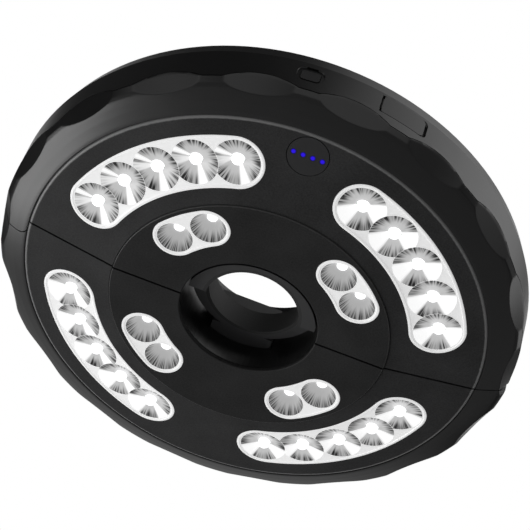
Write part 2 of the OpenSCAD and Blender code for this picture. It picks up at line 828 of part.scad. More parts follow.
module hub_plate(side, left_deg, right_deg) {
    color(face_grey) difference() {
        intersection() {
            rotate_extrude($fn = 180) polygon([
                [hub_r + edge_bevel, 0], [disc_r - edge_bevel, 0], [disc_r, edge_bevel],
                [disc_r, plate_t], [hub_r, plate_t], [hub_r, edge_bevel]]);
            half_space(side);
        }
        for (a = [left_deg, right_deg])
            kidney(inner_ring_r, a, inner_span, inner_cap_r + window_gap, -1, board_z);
    }
}

// ---- lights --------------------------------------------------------------------------------

module at_each_led(ring_r, mid_deg, span, pitch, count) {
    for (i = [0:count - 1]) rotate([0, 0, mid_deg - span + i * pitch]) translate([ring_r, 0, 0]) children();
}

// Cone of one bowl, as wide as rim_r at rim_z and narrowing to the LED's hole
module bowl(rim_r, rim_z) {
    top = tray_top - bowl_floor_t;
    slope = (rim_r - led_hole_r) / (top - rim_z);
    extra = 3;
    translate([0, 0, rim_z - extra])
        cylinder(r1 = rim_r + extra * slope, r2 = led_hole_r, h = top - rim_z + extra);
    translate([0, 0, top - 1]) cylinder(r = led_hole_r, h = bowl_floor_t + 2);
}

module outer_reflector(mid_deg) {
    color(silver) difference() {
        union() {
            intersection() {
                kidney(outer_ring_r, mid_deg, outer_span, outer_cap_r, 0, tray_top);
                rotate_extrude($fn = 180) polygon([
                    [disc_r, face_z(disc_r)], [face_r, face_z(face_r)], [face_r, tray_top],
                    [disc_r, tray_top]]);
            }
            kidney(outer_ring_r, mid_deg, outer_span, outer_cap_r + outer_flange_w,
                   tray_top - outer_flange_t, tray_top);
        }
        at_each_led(outer_ring_r, mid_deg, outer_span, outer_pitch, outer_leds)
            bowl(outer_bowl_r, face_z(outer_ring_r));
    }
}

module inner_reflector(mid_deg) {
    color(silver) difference() {
        union() {
            kidney(inner_ring_r, mid_deg, inner_span, inner_cap_r, 0, tray_top);
            kidney(inner_ring_r, mid_deg, inner_span, inner_cap_r + inner_flange_w,
                   plate_t + floor_t + seam_gap, plate_t + floor_t + seam_gap + inner_flange_t);
        }
        at_each_led(inner_ring_r, mid_deg, inner_span, inner_pitch, inner_leds)
            bowl(inner_bowl_r, 0);
    }
}

// Round LED with a domed lens that points down from the board
module led(tip) {
    dome = tip + led_r;
    rotate_extrude($fn = 48) {
        polygon([[0, dome], [led_r, dome], [led_r, board_z - led_flange_t],
                 [led_flange_r, board_z - led_flange_t], [led_flange_r, board_z], [0, board_z]]);
        intersection() {
            translate([0, dome]) circle(led_r);
            translate([0, tip]) square([led_r, led_r + eps]);
        }
    }
}

module led_set(degs, ring_r, span, pitch, count, tip) {
    color(lamp_white) for (a = degs) at_each_led(ring_r, a, span, pitch, count) led(tip);
}

module led_board(side) {
    in_r = hub_r + well_wall_t + 1.5;
    out_r = outer_ring_r + outer_cap_r + 0.6;
    color(board_green) difference() {
        intersection() {
            translate([0, 0, board_z]) difference() {
                cylinder(r = out_r, h = board_t, $fn = 180);
                translate([0, 0, -1]) cylinder(r = in_r, h = board_t + 2);
            }
            half_space(side);
        }
        translate([-reach, -half_gap - split_wall_t - 0.3, 0])
            cube([2 * reach, 2 * (half_gap + split_wall_t + 0.3), body_h]);
        translate([-channel_w - channel_wall - 0.4, side > 0 ? 0 : -channel_back - 0.4, 0])
            cube([2 * (channel_w + channel_wall + 0.4), channel_back + 0.4, body_h]);
        for (s = screw_spots(side)) rotate([0, 0, s[0]]) translate([s[1], 0, 0])
            cylinder(r = boss_r + boss_hole_gap, h = body_h);
        if (side < 0) for (p = control_posts) translate([p[0], p[1], 0])
            cylinder(r = control_post_r + boss_hole_gap, h = body_h);
    }
}

// ---- charge gauge --------------------------------------------------------------------------

module at_each_dot() {
    for (i = [0:gauge_dots - 1])
        translate([gauge_x + (i - (gauge_dots - 1) / 2) * gauge_pitch, gauge_y, 0]) children();
}

module gauge_window() {
    color([0.1, 0.1, 0.11]) difference() {
        intersection() {
            cone_plate();
            translate([gauge_x, gauge_y, 0]) cylinder(r = gauge_r, h = board_z);
        }
        at_each_dot() cylinder(r = dot_r + dot_gap, h = board_z);
    }
}

module gauge_light_pipes() {
    color([0.15, 0.1, 0.95]) intersection() {
        at_each_dot() cylinder(r = dot_r, h = board_z);
        rotate_extrude($fn = 180) polygon([
            [disc_r, face_z(disc_r)], [face_r, face_z(face_r)], [face_r, board_z], [disc_r, board_z]]);
    }
}

// ---- control electronics -------------------------------------------------------------------

module control_board() {
    top = control_left - control_slope;
    color(board_green) difference() {
        intersection() {
            translate([0, 0, control_z]) linear_extrude(board_t)
                polygon([[control_left, top], [-control_left, top],
                         [control_right - 4, 4 - control_right - control_slope],
                         [control_right, -control_edge], [control_left, -control_edge]]);
            cylinder(r = control_edge, h = body_h);
        }
        for (p = control_posts) translate([p[0], p[1], 0])
            cylinder(r = board_screw_r + screw_fit + 0.15, h = body_h);
    }
}

module board_screws() {
    color(steel) for (p = control_posts) translate([p[0], p[1], control_top]) {
        difference() {
            cylinder(r = board_screw_head_r, h = board_screw_head_t);
            screw_cross(board_screw_head_r, board_screw_head_t);
        }
        translate([0, 0, -board_screw_l]) cylinder(r = board_screw_r, h = board_screw_l + eps);
    }
}

// Cross recess in a screw head that is top high
module screw_cross(head_r, top) {
    for (a = [0, 90]) rotate([0, 0, a]) translate([-head_r * 0.6, -slot_w / 2, top - slot_d])
        cube([head_r * 1.2, slot_w, slot_d + 1]);
}

module charge_socket() {
    color(steel) rotate([0, 0, port_deg]) translate([0, 0, port_z]) {
        difference() {
            facing_plate(socket_w, socket_h, socket_h / 2 - eps, socket_mouth - socket_l, socket_mouth);
            facing_plate(socket_w - 2 * socket_shell, socket_h - 2 * socket_shell,
                         socket_h / 2 - socket_shell - eps, socket_mouth - socket_l + 1, socket_mouth + 1);
        }
        facing_plate(6.4, 0.7, 0.3, socket_mouth - socket_l + 0.5, socket_mouth - 1);
        for (y = [-socket_w / 3, socket_w / 3])
            translate([socket_mouth - socket_l * 0.7, y - socket_foot / 2, control_top - port_z])
                cube([socket_l * 0.4, socket_foot, port_z - socket_h / 2 - control_top + 0.1]);
    }
}

module power_switch() {
    color([0.2, 0.2, 0.2]) rotate([0, 0, button_deg]) difference() {
        translate([switch_front - switch_l, -switch_w / 2, control_top])
            cube([switch_l, switch_w, switch_h]);
        translate([switch_front - plunger_bore, 0, button_z]) rotate([0, 90, 0])
            cylinder(r = plunger_r + plunger_fit, h = plunger_bore + 1);
    }
}

module switch_plunger() {
    from = switch_front - plunger_in;
    color([0.75, 0.7, 0.6]) rotate([0, 0, button_deg]) translate([from, 0, button_z]) rotate([0, 90, 0])
        cylinder(r = plunger_r, h = button_inner - button_flange_t - from);
}

module power_button() {
    color([0.1, 0.1, 0.1]) rotate([0, 0, button_deg]) translate([0, 0, button_z]) {
        facing_plate(button_w, button_h, button_corner - button_gap, button_inner - button_flange_t,
                     button_face);
        facing_plate(button_w + 2 * button_flange, button_h + 2 * button_flange, button_corner,
                     button_inner - button_flange_t, button_inner);
    }
}

module port_flap() {
    color([0.09, 0.09, 0.09]) rotate([0, 0, port_deg]) translate([0, 0, port_z]) {
        difference() {
            intersection() {
                facing_plate(port_w - 2 * flap_gap, port_h - 2 * flap_gap, port_corner - flap_gap,
                             pocket_floor - 2, body_r + 1);
                difference() {
                    translate([0, 0, -port_h]) cylinder(r = flap_face, h = 2 * port_h, $fn = 180);
                    translate([0, 0, -port_h - 1])
                        cylinder(r = flap_face - flap_t, h = 2 * port_h + 2, $fn = 180);
                }
            }
            translate([0, flap_hinge_y - reach, -port_h]) cube([reach, reach, 2 * port_h]);
        }
        translate([flap_hinge_x, flap_hinge_y, port_corner - port_h / 2])
            cylinder(r = flap_t / 2, h = port_h - 2 * port_corner, $fn = 32);
        facing_plate(mouth_w - 2 * mouth_gap, mouth_h - 2 * mouth_gap, 1,
                     flap_face - flap_t - lug_depth, flap_face - flap_t + 0.2);
    }
}

// ---- battery -------------------------------------------------------------------------------

module along_cell(a) {
    rotate([0, 0, a]) translate([cell_ring_r, 0, cell_z]) rotate([90, 0, 0]) children();
}

module cells(degs) {
    color(cell_blue) for (a = degs) along_cell(a) {
        translate([0, 0, -cell_l / 2]) cylinder(r = cell_r, h = cell_l - cell_nub_l);
        translate([0, 0, cell_l / 2 - cell_nub_l - eps]) cylinder(r = cell_nub_r, h = cell_nub_l);
    }
}

module cell_saddles(degs) {
    color([0.25, 0.25, 0.27]) for (a = degs) difference() {
        rotate([0, 0, a]) translate([cell_ring_r - saddle_w / 2, -saddle_l / 2, board_z + board_t])
            cube([saddle_w, saddle_l, saddle_h]);
        along_cell(a) cylinder(r = cell_r + saddle_gap, h = 2 * cell_l, center = true);
    }
}

// ---- hinge ---------------------------------------------------------------------------------

module hinge_pin() {
    color(steel) translate([hinge_x, 0, pin_low]) cylinder(r = pin_r, h = pin_top - pin_low);
}

module hinge_spring() {
    color(steel) translate([hinge_x, 0, coil_low]) {
        coil(torsion_r, torsion_wire / 2, coil_h, torsion_turns, 6, 12);
        for (end = [[-1, torsion_wire / 2], [1, coil_h - torsion_wire / 2]])
            translate([0, end[0] * leg_y, end[1]]) rotate([0, -90, 0])
                cylinder(r = torsion_wire / 2, h = torsion_leg, $fn = 16);
    }
}

// ---- jaws, written for the swing side ------------------------------------------------------

// Crescent between the pole's arc and the jaw's back, kept short of the split
module jaw_crescent(front_r, low, high, half_w) {
    intersection() {
        difference() {
            translate([0, jaw_back_y - jaw_back_r, low]) cylinder(r = jaw_back_r, h = high - low);
            translate([0, 0, low - 1]) cylinder(r = front_r, h = high - low + 2);
        }
        translate([-half_w, jaw_end_gap, low]) cube([2 * half_w, hub_r, high - low]);
    }
}

module jaw_pad_ring(low, high) {
    translate([0, 0, low]) intersection() {
        difference() {
            cylinder(r = grip_r + pad_t, h = high - low);
            translate([0, 0, -1]) cylinder(r = grip_r, h = high - low + 2);
        }
        translate([-hub_r, jaw_end_gap, 0]) cube([2 * hub_r, hub_r, high - low]);
    }
}

module jaw_stem() {
    difference() {
        union() {
            translate([-stem_w, stem_front, stem_low])
                cube([2 * stem_w, stem_back - stem_front, stem_top - stem_low]);
            translate([-stem_w - lug_w, stem_back - lug_l, stem_low])
                cube([2 * (stem_w + lug_w), lug_l, stem_top - stem_low]);
        }
        translate([-stem_w + 2, stem_front + 6, stem_low + 3])
            cube([2 * stem_w - 4, stem_back - stem_front - 8, stem_top - stem_low]);
    }
    translate([0, stem_back - eps, (stem_low + stem_top) / 2]) rotate([-90, 0, 0])
        cylinder(r = spigot_r, h = spigot_l);
}

module jaw_spring() {
    length = channel_end - stem_back;
    translate([0, stem_back, (stem_low + stem_top) / 2]) rotate([-90, 0, 0])
        coil(jaw_spring_r, spring_wire / 2, length, spring_turns, 6, 14);
}

module guide_cap() {
    translate([-channel_w - channel_wall, channel_front + 4.3, guide_top])
        cube([2 * (channel_w + channel_wall), channel_back - channel_front - 4.3, cap_t]);
}

arm_top_z = jaw_z + arm_h;
high_arm_z = jaw_top - arm_h;

// The main jaw has a low and a high arm, and the swing jaw one between them
module main_jaw() {
    color([0.2, 0.2, 0.2]) mirror([0, 1, 0]) {
        jaw_crescent(grip_r + pad_t, jaw_z, arm_top_z, jaw_half_w);
        jaw_crescent(grip_r + pad_t, high_arm_z, jaw_top, jaw_half_w);
        jaw_crescent(grip_r + pad_t, jaw_z, jaw_top, web_w);
        jaw_stem();
    }
}

module swing_jaw() {
    color([0.2, 0.2, 0.2]) {
        jaw_crescent(grip_r + pad_t, arm_top_z + arm_gap, high_arm_z - arm_gap, jaw_half_w);
        jaw_stem();
    }
}

// ---- screws --------------------------------------------------------------------------------

module shell_screws(side) {
    color(steel) for (s = screw_spots(side)) rotate([0, 0, s[0]]) translate([s[1], 0, head_z]) {
        difference() {
            cylinder(r = screw_head_r, h = screw_head_t);
            screw_cross(screw_head_r, screw_head_t);
        }
        translate([0, 0, -shank_l]) cylinder(r = screw_r, h = shank_l + eps);
    }
}

// ---- nodes ---------------------------------------------------------------------------------

top_shell(main);  // main_top_shell
lower_shell(main, main_left_deg, main_right_deg);  // main_lower_shell
face_plate(main, main_left_deg, main_right_deg);  // main_face_plate
hub_plate(main, main_left_deg, main_right_deg);  // main_hub_plate
top_shell(swing);  // swing_top_shell
lower_shell(swing, swing_left_deg, swing_right_deg);  // swing_lower_shell
face_plate(swing, swing_left_deg, swing_right_deg);  // swing_face_plate
hub_plate(swing, swing_left_deg, swing_right_deg);  // swing_hub_plate
outer_reflector(main_left_deg);  // main_outer_reflector_left
outer_reflector(main_right_deg);  // main_outer_reflector_right
inner_reflector(main_left_deg);  // main_inner_reflector_left
inner_reflector(main_right_deg);  // main_inner_reflector_right
outer_reflector(swing_left_deg);  // swing_outer_reflector_left
outer_reflector(swing_right_deg);  // swing_outer_reflector_right
inner_reflector(swing_left_deg);  // swing_inner_reflector_left
inner_reflector(swing_right_deg);  // swing_inner_reflector_right
led_set([main_left_deg, main_right_deg], outer_ring_r, outer_span, outer_pitch, outer_leds,  // main_outer_leds
            outer_led_tip);
led_set([main_left_deg, main_right_deg], inner_ring_r, inner_span, inner_pitch, inner_leds,  // main_inner_leds
            inner_led_tip);
led_set([swing_left_deg, swing_right_deg], outer_ring_r, outer_span, outer_pitch, outer_leds,  // swing_outer_leds
            outer_led_tip);
led_set([swing_left_deg, swing_right_deg], inner_ring_r, inner_span, inner_pitch, inner_leds,  // swing_inner_leds
            inner_led_tip);
led_board(main);  // main_led_board
led_board(swing);  // swing_led_board
gauge_window();
gauge_light_pipes();
control_board();
charge_socket();
power_switch();
switch_plunger();
power_button();
port_flap();
cells([main_left_deg, main_right_deg]);  // main_cells
cells([swing_left_deg, swing_right_deg]);  // swing_cells
cell_saddles([main_left_deg, main_right_deg]);  // main_cell_saddles
cell_saddles([swing_left_deg, swing_right_deg]);  // swing_cell_saddles
hinge_pin();
hinge_spring();
main_jaw();
color([0.05, 0.05, 0.05]) mirror([0, 1, 0]) {  // main_jaw_pads
    jaw_pad_ring(jaw_z, arm_top_z);
    jaw_pad_ring(high_arm_z, jaw_top);
}
color(steel) mirror([0, 1, 0]) jaw_spring();  // main_jaw_spring
color([0.2, 0.2, 0.2]) mirror([0, 1, 0]) guide_cap();  // main_guide_cap
swing_jaw();
color([0.05, 0.05, 0.05])  // swing_jaw_pad
    jaw_pad_ring(arm_top_z + arm_gap, high_arm_z - arm_gap);
color(steel) jaw_spring();  // swing_jaw_spring
color([0.2, 0.2, 0.2]) guide_cap();  // swing_guide_cap
shell_screws(main);  // main_shell_screws
shell_screws(swing);  // swing_shell_screws
board_screws();
color([0.7, 0.1, 0.1])  // battery_lead
    swept_tube(battery_route, lead_r, lead_sides);
color([0.1, 0.1, 0.1]) swept_tube(link_route, lead_r, lead_sides);  // link_lead
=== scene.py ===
"""Clip-on light for an umbrella pole: looks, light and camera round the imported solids. Metres."""
import math

import bmesh
import bpy
import numpy as np
from mathutils import Matrix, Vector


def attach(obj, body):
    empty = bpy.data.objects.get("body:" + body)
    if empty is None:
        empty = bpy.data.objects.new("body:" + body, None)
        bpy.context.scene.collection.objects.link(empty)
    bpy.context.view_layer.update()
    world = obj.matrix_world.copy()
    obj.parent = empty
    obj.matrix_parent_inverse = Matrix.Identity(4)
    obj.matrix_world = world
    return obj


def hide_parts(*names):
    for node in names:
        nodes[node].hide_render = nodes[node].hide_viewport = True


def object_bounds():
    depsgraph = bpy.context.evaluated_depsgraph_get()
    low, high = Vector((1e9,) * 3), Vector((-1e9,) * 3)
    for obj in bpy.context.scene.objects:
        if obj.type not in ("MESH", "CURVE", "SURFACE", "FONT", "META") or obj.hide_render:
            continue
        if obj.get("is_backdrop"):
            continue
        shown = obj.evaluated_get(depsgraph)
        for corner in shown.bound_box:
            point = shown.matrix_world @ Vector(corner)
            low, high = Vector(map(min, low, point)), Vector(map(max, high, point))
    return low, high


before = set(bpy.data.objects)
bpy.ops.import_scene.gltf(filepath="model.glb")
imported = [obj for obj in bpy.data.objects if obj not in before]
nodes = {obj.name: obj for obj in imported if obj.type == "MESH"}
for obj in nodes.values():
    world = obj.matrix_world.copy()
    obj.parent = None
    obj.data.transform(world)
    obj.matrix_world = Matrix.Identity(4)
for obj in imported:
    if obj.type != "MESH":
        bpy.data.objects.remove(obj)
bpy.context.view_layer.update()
mm = 0.001

# ---- camera ---------------------------------------------------------------------------------
# The lit face is seen from below and in front, from a little under a metre, with the camera
# rolled to the left.

camera_azimuth = math.radians(-91.03)
camera_elevation = math.radians(-46.68)
camera_roll = math.radians(19.86)
camera_distance = 0.9268
camera_aim = np.array([-0.99, -15.32, 13.9]) * mm
photo_lens = 170.8
photo_sensor = 36.0

to_camera = np.array([math.cos(camera_elevation) * math.cos(camera_azimuth),
                      math.cos(camera_elevation) * math.sin(camera_azimuth),
                      math.sin(camera_elevation)])
level_right = np.cross([0.0, 0.0, 1.0], to_camera)
level_right /= np.linalg.norm(level_right)
level_up = np.cross(to_camera, level_right)
view_right = level_right * math.cos(camera_roll) + level_up * math.sin(camera_roll)
view_up = level_up * math.cos(camera_roll) - level_right * math.sin(camera_roll)


def add_object(name, data):
    """Object in the scene that holds the data."""
    made = bpy.data.objects.new(name, data)
    bpy.context.scene.collection.objects.link(made)
    return made


def place_thing(thing, right, up, back, spot):
    """Puts a camera or lamp at a spot, with its own X, Y and Z axes along three directions."""
    matrix = np.eye(4)
    matrix[:3] = np.column_stack([right, up, back, spot])
    thing.matrix_world = Matrix(matrix.tolist())


camera = add_object("camera", bpy.data.cameras.new("camera"))
camera.data.lens = photo_lens
camera.data.sensor_width = photo_sensor
camera.data.clip_start = 0.05
camera.data.clip_end = 50
place_thing(camera, view_right, view_up, to_camera, camera_aim + to_camera * camera_distance)
bpy.context.scene.camera = camera

# ---- lower shells ---------------------------------------------------------------------------
# Each half's lower shell is one moulding in satin black plastic: a bezel with a row of scooped
# scallops round its rim, a floor under the face plates and a well round the pole. The bezel is
# the visible skin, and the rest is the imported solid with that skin's space cut away.

BODY_R = 100 * mm
RIM_T = 3.8 * mm
SEAM_Z = 14.8 * mm
HALF_GAP = 0.2 * mm
LIP_R = 88.3 * mm
LIP_Z = 7.2 * mm
LIP_ROUND = 0.2 * mm
SEAT_Z = 8.95 * mm
# Each step of the bezel: its inset from the side band and its drop below the seam, in millimetres
BEZEL_STEPS = [(10.4, 7.25), (7.0, 5.75), (4.5, 4.5), (2.5, 3.4), (1.3, 2.3), (0.0, 0.0)]
SCALLOPS = 18
SCALLOP_START = math.radians(-5)
SCALLOP_MID_R = 98.1 * mm
SCALLOP_MID_Z = 14.25 * mm
SCALLOP_LEAN = math.radians(28.16)
SCALLOP_CUT_R = 118.7 * mm
ARCH_R = 28.8 * mm
ARCH_TOP_Z = 18.15 * mm
TONGUE_X = -88.4 * mm
TONGUE_REACH = 7.5 * mm
TONGUE_ROUND = 4.4 * mm
SPLIT_GAP = 0.4 * mm
HINGE_X = 96.8 * mm
HINGE_ROOM = math.radians(42)
BACK_IN = 2.2 * mm
BACK_DOWN = 1.2 * mm
SEAT_WALL = 1.6 * mm
# The back of the skin in the radius and height plane, and limits well clear of the part
SKIN_BACK = [(LIP_R - 0.02 * mm, 10.4 * mm), (94 * mm, 13.55 * mm), (96.15 * mm, 14.75 * mm)]
CLEAR_LOW = -0.01
CLEAR_HIGH = 0.05
CLEAR_OUT = 0.12
BAND_TOP_Z = ARCH_TOP_Z + 5 * mm
RIM_LAP = 0.05 * mm
SAME_PLACE = 2e-6
# How the skin's rays are worked out: where they start, how softly they join, from which angle on
# they count from below, the length that stands for a miss, and the slopes too small to divide by
skin_heart = (92.6 * mm, 11.2 * mm)
edge_softness = 0.06 * mm
past_top = math.radians(100)
no_hit = 1
steepest = 0.05
lowest_rise = 0.02
# The halves, by the side of the split on which each lies
swing = 1
main = -1


def closed_grid(name, *grids, caps=True, sharp=35):
    """Mesh of grids whose columns are closed loops: each grid has shape (columns, rows, 3), each
    column joins to the next one, each row's last point joins to its first, and the first and
    last column are closed by flat caps."""
    points, faces, base = [], [], 0
    for grid in grids:
        columns, rows = grid.shape[:2]
        index = base + np.arange(columns * rows).reshape(columns, rows)
        a, b = index[:-1], index[1:]
        faces += np.stack([a, b, np.roll(b, -1, 1), np.roll(a, -1, 1)], -1).reshape(-1, 4).tolist()
        if caps:
            faces.append(index[0].tolist())
            faces.append(index[-1][::-1].tolist())
        points.append(grid.reshape(-1, 3))
        base += columns * rows
    mesh = bpy.data.meshes.new(name)
    mesh.from_pydata(np.concatenate(points).tolist(), [], faces)
    return piece_from(name, mesh, sharp)


def soft_shading(mesh, sharp):
    """Smooth shading except over edges that turn by more than an angle."""
    mesh.polygons.foreach_set("use_smooth", np.ones(len(mesh.polygons), bool))
    mesh.set_sharp_from_angle(angle=math.radians(sharp))


def piece_from(name, mesh, sharp=35):
    """Object from a closed mesh, with outward faces and soft shading up to an angle."""
    work = bmesh.new()
    work.from_mesh(mesh)
    bmesh.ops.recalc_face_normals(work, faces=work.faces)
    if work.calc_volume(signed=True) < 0:
        bmesh.ops.reverse_faces(work, faces=work.faces)
    work.to_mesh(mesh)
    work.free()
    soft_shading(mesh, sharp)
    mesh.update()
    return add_object(name, mesh)


def tongue_angle(radius, grow):
    """Angle at which the edge of the locating tongue, grown by a gap, meets a circle of that
    radius: the round corner by the law of cosines, and beyond it the straight side."""
    corner_x = TONGUE_X - TONGUE_ROUND
    corner_y = TONGUE_REACH - TONGUE_ROUND
    corner_r = TONGUE_ROUND + grow
    reach = math.hypot(corner_x, corner_y)
    corner_at = math.atan2(corner_y, corner_x)
    cosine = (radius ** 2 + reach ** 2 - corner_r ** 2) / (2 * radius * reach)
    on_corner = corner_at - np.arccos(np.clip(cosine, -1, 1))
    on_side = math.pi - np.arcsin(np.clip((TONGUE_REACH + grow) / radius, -1, 1))
    straight = radius > math.hypot(corner_x, TONGUE_REACH + grow)
    return np.where(straight, on_side, on_corner)


def split_ends(side, radius):
    """First and last angle of one half at each radius, measured so that they grow: the arcsine of
    the gap over the radius, and the tongue's edge. Outside the hinge pin the swing half stays
    behind a slanted line through the pin, so that it clears the other half as it opens."""
    away = np.arcsin(HALF_GAP / radius)
    if side == swing:
        slant = HINGE_ROOM - np.arcsin(np.clip(HINGE_X * math.sin(HINGE_ROOM) / radius, -1, 1))
        return np.maximum(away, slant), tongue_angle(radius, SPLIT_GAP)
    return tongue_angle(radius, 0) - 2 * math.pi, -away


def from_scallop(angle):
    """Signed angle from the middle of the nearest scallop: the angle modulo the scallops' pitch."""
    step = 2 * math.pi / SCALLOPS
    return (angle - SCALLOP_START + step / 2) % step - step / 2


def seam_height(angle, radius):
    """Height of the seam: level on the lands, and under each arch the top of a circle whose axis
    is radial."""
    across = radius * np.sin(from_scallop(angle))
    arch = ARCH_TOP_Z - ARCH_R + np.sqrt(np.maximum(ARCH_R ** 2 - across ** 2, 0))
    return np.maximum(SEAM_Z, arch)


def scoop_depth(angle, r, z):
    """How far a point in the plane at an angle lies outside the leaning cylinder that scoops the
    scallop, measured along the scoop's direction."""
    off = from_scallop(angle)
    sideways = SCALLOP_CUT_R - np.sqrt(SCALLOP_CUT_R ** 2 - (r * np.sin(off)) ** 2)
    return ((r * np.cos(off) - SCALLOP_MID_R) * math.cos(SCALLOP_LEAN)
            - (z - SCALLOP_MID_Z) * math.sin(SCALLOP_LEAN) - sideways)


def bezel_outline():
    """Outline of the bezel in the radius and height plane: a quarter circle for the lip, straight
    stretches between the steps, smoothed by a moving average, and the upright side band."""
    turn = np.linspace(math.pi, 1.5 * math.pi, 9)
    lip = np.stack([LIP_R + LIP_ROUND + LIP_ROUND * np.cos(turn),
                    LIP_Z + LIP_ROUND + LIP_ROUND * np.sin(turn)], 1)
    steps = np.array([(BODY_R - inset * mm, SEAM_Z - drop * mm) for inset, drop in BEZEL_STEPS])
    knots = np.concatenate([lip[-1:], steps])
    along = np.concatenate([[0], np.cumsum(np.linalg.norm(np.diff(knots, axis=0), axis=1))])
    fine = np.linspace(0, along[-1], 160)
    curve = np.stack([np.interp(fine, along, knots[:, k]) for k in (0, 1)], 1)
    blur = 7
    window = np.hanning(2 * blur + 1)
    window /= window.sum()
    ends = np.pad(curve, ((blur, blur), (0, 0)), mode="reflect", reflect_type="odd")
    curve = np.stack([np.convolve(ends[:, k], window, "valid") for k in (0, 1)], 1)
    band = np.array([[BODY_R, z] for z in np.linspace(SEAM_Z, BAND_TOP_Z, 12)[1:]])
    return np.concatenate([lip[:-1], curve, band])


def bezel_skin(name, side, columns=640, rows=112, rounds=6):
    """The bezel and its scallops. Rays leave a point inside the rim at each angle round the pole,
    and each ray ends at the smooth minimum of its distances to the bezel's outline, to the scoop
    and to the seam, so that every edge where two of them meet is softly rounded. Each round
    measures the scoop and the seam again from where the rays ended."""
    outline = bezel_outline()
    heart_r, heart_z = skin_heart
    ray_at = np.arctan2(outline[:, 1] - heart_z, outline[:, 0] - heart_r)
    ray_at = np.where(ray_at > past_top, ray_at - 2 * math.pi, ray_at)
    ray_long = np.hypot(outline[:, 0] - heart_r, outline[:, 1] - heart_z)
    share = np.linspace(0, 1, columns)[:, None]
    first, last = split_ends(side, np.array([BODY_R]))
    angle = first + (last - first) * share
    ray_end = np.arctan2(seam_height(angle, BODY_R) - heart_z, BODY_R - RIM_T + RIM_LAP - heart_r)
    ray = ray_at[0] + (ray_end - ray_at[0]) * np.linspace(0, 1, rows)[None, :]
    to_bezel = np.interp(ray, ray_at, ray_long)
    long = to_bezel.copy()
    for _ in range(rounds):
        r = heart_r + long * np.cos(ray)
        z = heart_z + long * np.sin(ray)
        lo, hi = split_ends(side, r)
        angle = lo + (hi - lo) * share
        slope = np.cos(ray) * math.cos(SCALLOP_LEAN) - np.sin(ray) * math.sin(SCALLOP_LEAN)
        closing = np.where(np.abs(slope) < steepest, steepest, slope)
        to_scoop = long - scoop_depth(angle, r, z) / closing
        to_scoop = np.where((slope > steepest) & (to_scoop > 0), to_scoop, no_hit)
        rise = seam_height(angle, r) - heart_z
        climb = np.maximum(np.sin(ray), lowest_rise)
        to_seam = np.where(np.sin(ray) > lowest_rise, rise / climb, no_hit)
        reach = np.stack([to_bezel, np.minimum(to_scoop, no_hit), np.minimum(to_seam, no_hit)])
        near = reach.min(0)
        long = near - edge_softness * np.log(np.exp(-(reach - near) / edge_softness).sum(0))
    inner_r = np.array([BODY_R - RIM_T, BODY_R - RIM_T - BACK_IN, LIP_R, LIP_R])
    inner_z = np.array([SEAM_Z, SEAM_Z - BACK_DOWN, SEAT_Z + SEAT_WALL, SEAT_Z])
    all_r = np.concatenate([r, np.broadcast_to(inner_r, (columns, 4))], 1)
    all_z = np.concatenate([z, np.broadcast_to(inner_z, (columns, 4))], 1)
    lo, hi = split_ends(side, all_r)
    angle = lo + (hi - lo) * share
    points = np.stack([all_r * np.cos(angle), all_r * np.sin(angle), all_z], -1)
    return closed_grid(name, points)


def revolved_cutter(name, outline, steps=256):
    """Closed ring from an outline in the radius and height plane, for cutting a copy of a solid."""
    turn = np.linspace(0, 2 * math.pi, steps, endpoint=False)[:, None]
    r, z = np.array(outline, float).T
    z = np.broadcast_to(z, (steps, len(z)))
    points = np.stack([r * np.cos(turn), r * np.sin(turn), z], -1)
    return closed_grid(name, np.concatenate([points, points[:1]]), caps=False)


def join_corners(mesh, turn_out=False):
    """Joins corners that lie in one place, and turns the faces outward if asked."""
    work = bmesh.new()
    work.from_mesh(mesh)
    bmesh.ops.remove_doubles(work, verts=work.verts, dist=SAME_PLACE)
    if turn_out:
        bmesh.ops.recalc_face_normals(work, faces=work.faces)
    work.to_mesh(mesh)
    work.free()


def merged_copy(name, node, sharp=25):
    """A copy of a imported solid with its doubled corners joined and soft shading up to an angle."""
    mesh = nodes[node].data.copy()
    mesh.name = name
    join_corners(mesh)
    soft_shading(mesh, sharp)
    return add_object(name, mesh)


def cut_away(piece, cutter):
    """Removes the cutter's space from a piece, and the cutter with it."""
    cut = piece.modifiers.new("cut", "BOOLEAN")
    cut.operation = "DIFFERENCE"
    cut.solver = "EXACT"
    cut.object = cutter
    bpy.context.view_layer.update()
    ready = piece.evaluated_get(bpy.context.evaluated_depsgraph_get())
    mesh = bpy.data.meshes.new_from_object(ready)
    mesh.name = piece.name
    piece.modifiers.clear()
    piece.data = mesh
    bpy.data.objects.remove(cutter)


def finish_piece(piece, body, slot, material, *replaced):
    """Gives a piece its material and body, and hides the solids that it stands for. The slot is not
    used.
    """
    piece.data.materials.clear()
    piece.data.materials.append(material)
    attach(piece, body)
    if replaced:
        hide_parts(*replaced)


def new_material(name):
    """Node material, with its node tree and its Principled shader."""
    made = bpy.data.materials.new(name)
    made.use_nodes = True
    return made, made.node_tree, made.node_tree.nodes["Principled BSDF"]


def add(tree, kind, inputs=None, **settings):
    """A shader node with its settings, and with the inputs named here set or joined to a socket."""
    made = tree.nodes.new("ShaderNode" + kind)
    for name, value in settings.items():
        setattr(made, name, value)
    for name, value in (inputs or {}).items():
        socket = made.inputs[name]
        if isinstance(value, bpy.types.NodeSocket):
            tree.links.new(value, socket)
        else:
            socket.default_value = value
    return made


def group(name, takes, gives):
    """Empty node group with its named inputs and outputs; returns it with both end nodes."""
    made = bpy.data.node_groups.new(name, "ShaderNodeTree")
    for label, kind, value in takes:
        socket = made.interface.new_socket(label, in_out="INPUT", socket_type="NodeSocket" + kind)
        if value is not None:
            socket.default_value = value
    for label, kind in gives:
        made.interface.new_socket(label, in_out="OUTPUT", socket_type="NodeSocket" + kind)
    return made, made.nodes.new("NodeGroupInput"), made.nodes.new("NodeGroupOutput")


